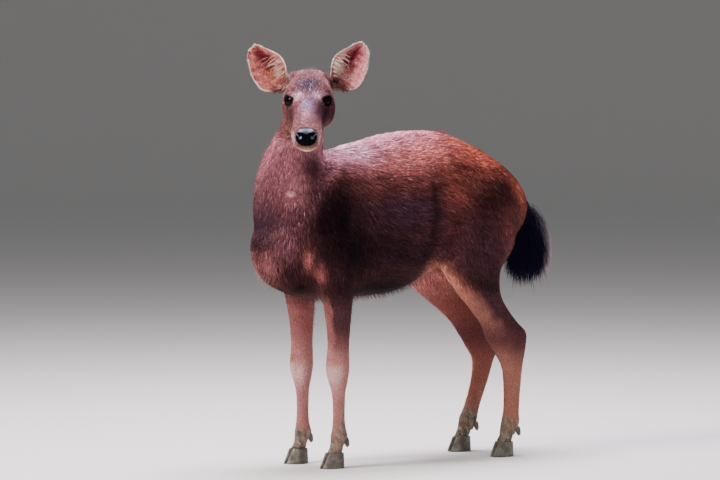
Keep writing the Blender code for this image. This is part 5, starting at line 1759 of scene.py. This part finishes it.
class SAMBAR_OT_stage(bpy.types.Operator):
    """Set up the floor, the soft studio light and the camera."""

    bl_idname = "sambar.stage"
    bl_label = "Stage"

    def execute(self, context):
        stage = context.scene.sambar_stage
        self.floor(stage)
        world = bpy.data.worlds.new("studio")
        world.use_nodes = True
        background = world.node_tree.nodes["Background"]
        background.inputs["Color"].default_value = (*linear(SKY_COLOUR), 1.0)
        background.inputs["Strength"].default_value = SKY_STRENGTH
        context.scene.world = world
        sin_a, cos_a = math.sin(stage.azimuth), math.cos(stage.azimuth)
        sin_e, cos_e = math.sin(stage.elevation), math.cos(stage.elevation)
        back = np.array((sin_a * cos_e, -cos_a * cos_e, sin_e))
        right = np.array((cos_a, sin_a, 0.0))
        up = np.cross(back, right)
        target = SHIFT + (0.0, 0.0, TARGET_HEIGHT)
        place = target + back * stage.distance
        centre = (target - right * (PHOTO_OFFSET[0] / PHOTO_SCALE)
                  + up * (PHOTO_OFFSET[1] / PHOTO_SCALE))
        lens = bpy.data.cameras.new("camera")
        lens.lens = stage.lens
        lens.sensor_width = 36.0
        context.scene.camera = self.point(context, lens, place, centre, "camera")
        for name, above, beside, before, energy, size, tint in LIGHTS:
            light = bpy.data.lights.new(name, "AREA")
            light.energy = energy
            light.size = size
            light.color = tuple(linear(tint))
            where = target + up * above + right * beside + back * before
            self.point(context, light, where, target, name)
        return {"FINISHED"}

    def floor(self, stage):
        """A round matt floor that is flat round the animal and curves up at its edge."""
        curve = np.linspace(0.1, 1.57, 16)
        radius = np.concatenate([np.linspace(0.5, FLOOR_FLAT, 12),
                                 FLOOR_FLAT + FLOOR_CURVE * np.sin(curve)])[:, None]
        height = np.concatenate([np.zeros(12), FLOOR_CURVE * (1.0 - np.cos(curve))])[:, None]
        cosine, sine = round_angles(96)
        rings = np.stack([radius * cosine, radius * sine, np.repeat(height, 96, axis=1)], axis=2)
        here = np.arange(96)
        centre_fan = np.stack([np.full(96, rings.size // 3), here, (here + 1) % 96], 1)
        faces = np.concatenate([grid_faces(len(radius), 96, True)[:, ::-1], centre_fan])
        made = new_object("floor", np.concatenate([rings.reshape(-1, 3), np.zeros((1, 3))]), faces)
        made.data.shade_smooth()
        material, _, shader = new_material("pale_matt_floor")
        shader.inputs["Base Color"].default_value = (*stage.floor_colour, 1.0)
        shader.inputs["Roughness"].default_value = 0.9
        made.data.materials.append(material)

    def point(self, context, data, place, target, name):
        """Set a camera or light at a place, looking at a target."""
        made = bpy.data.objects.new(name, data)
        turn = Vector(target - place).to_track_quat("-Z", "Y").to_matrix().to_4x4()
        made.matrix_world = Matrix.Translation(Vector(place)) @ turn
        context.scene.collection.objects.link(made)
        return made


class SAMBAR_PT_panel(bpy.types.Panel):
    """Lists the sizes and the steps in the sidebar."""

    bl_idname = "SAMBAR_PT_panel"
    bl_label = "Sambar hind"
    bl_space_type = "VIEW_3D"
    bl_region_type = "UI"
    bl_category = "Sambar"

    def draw(self, context):
        for group in (context.scene.sambar_sizes, context.scene.sambar_stage):
            for name in group.__annotations__:
                self.layout.prop(group, name)
        for operator in OPERATORS:
            self.layout.operator(operator.bl_idname)


OPERATORS = (SAMBAR_OT_skin, SAMBAR_OT_coat, SAMBAR_OT_long_hair, SAMBAR_OT_tail, SAMBAR_OT_eyes,
             SAMBAR_OT_nose, SAMBAR_OT_hooves, SAMBAR_OT_stage)


def register():
    """Make the properties, operators and panel known."""
    for kind in (SambarSizes, SambarStage, *OPERATORS, SAMBAR_PT_panel):
        bpy.utils.register_class(kind)
    bpy.types.Scene.sambar_sizes = PointerProperty(type=SambarSizes)
    bpy.types.Scene.sambar_stage = PointerProperty(type=SambarStage)


def unregister():
    """Take them out again."""
    del bpy.types.Scene.sambar_stage
    del bpy.types.Scene.sambar_sizes
    for kind in reversed((SambarSizes, SambarStage, *OPERATORS, SAMBAR_PT_panel)):
        bpy.utils.unregister_class(kind)


def main():
    """Make every piece in order."""
    register()
    bpy.ops.sambar.skin()
    bpy.ops.sambar.coat()
    bpy.ops.sambar.long_hair()
    bpy.ops.sambar.tail()
    bpy.ops.sambar.eyes()
    bpy.ops.sambar.nose()
    bpy.ops.sambar.hooves()
    bpy.ops.sambar.stage()


if __name__ == "__main__":
    main()
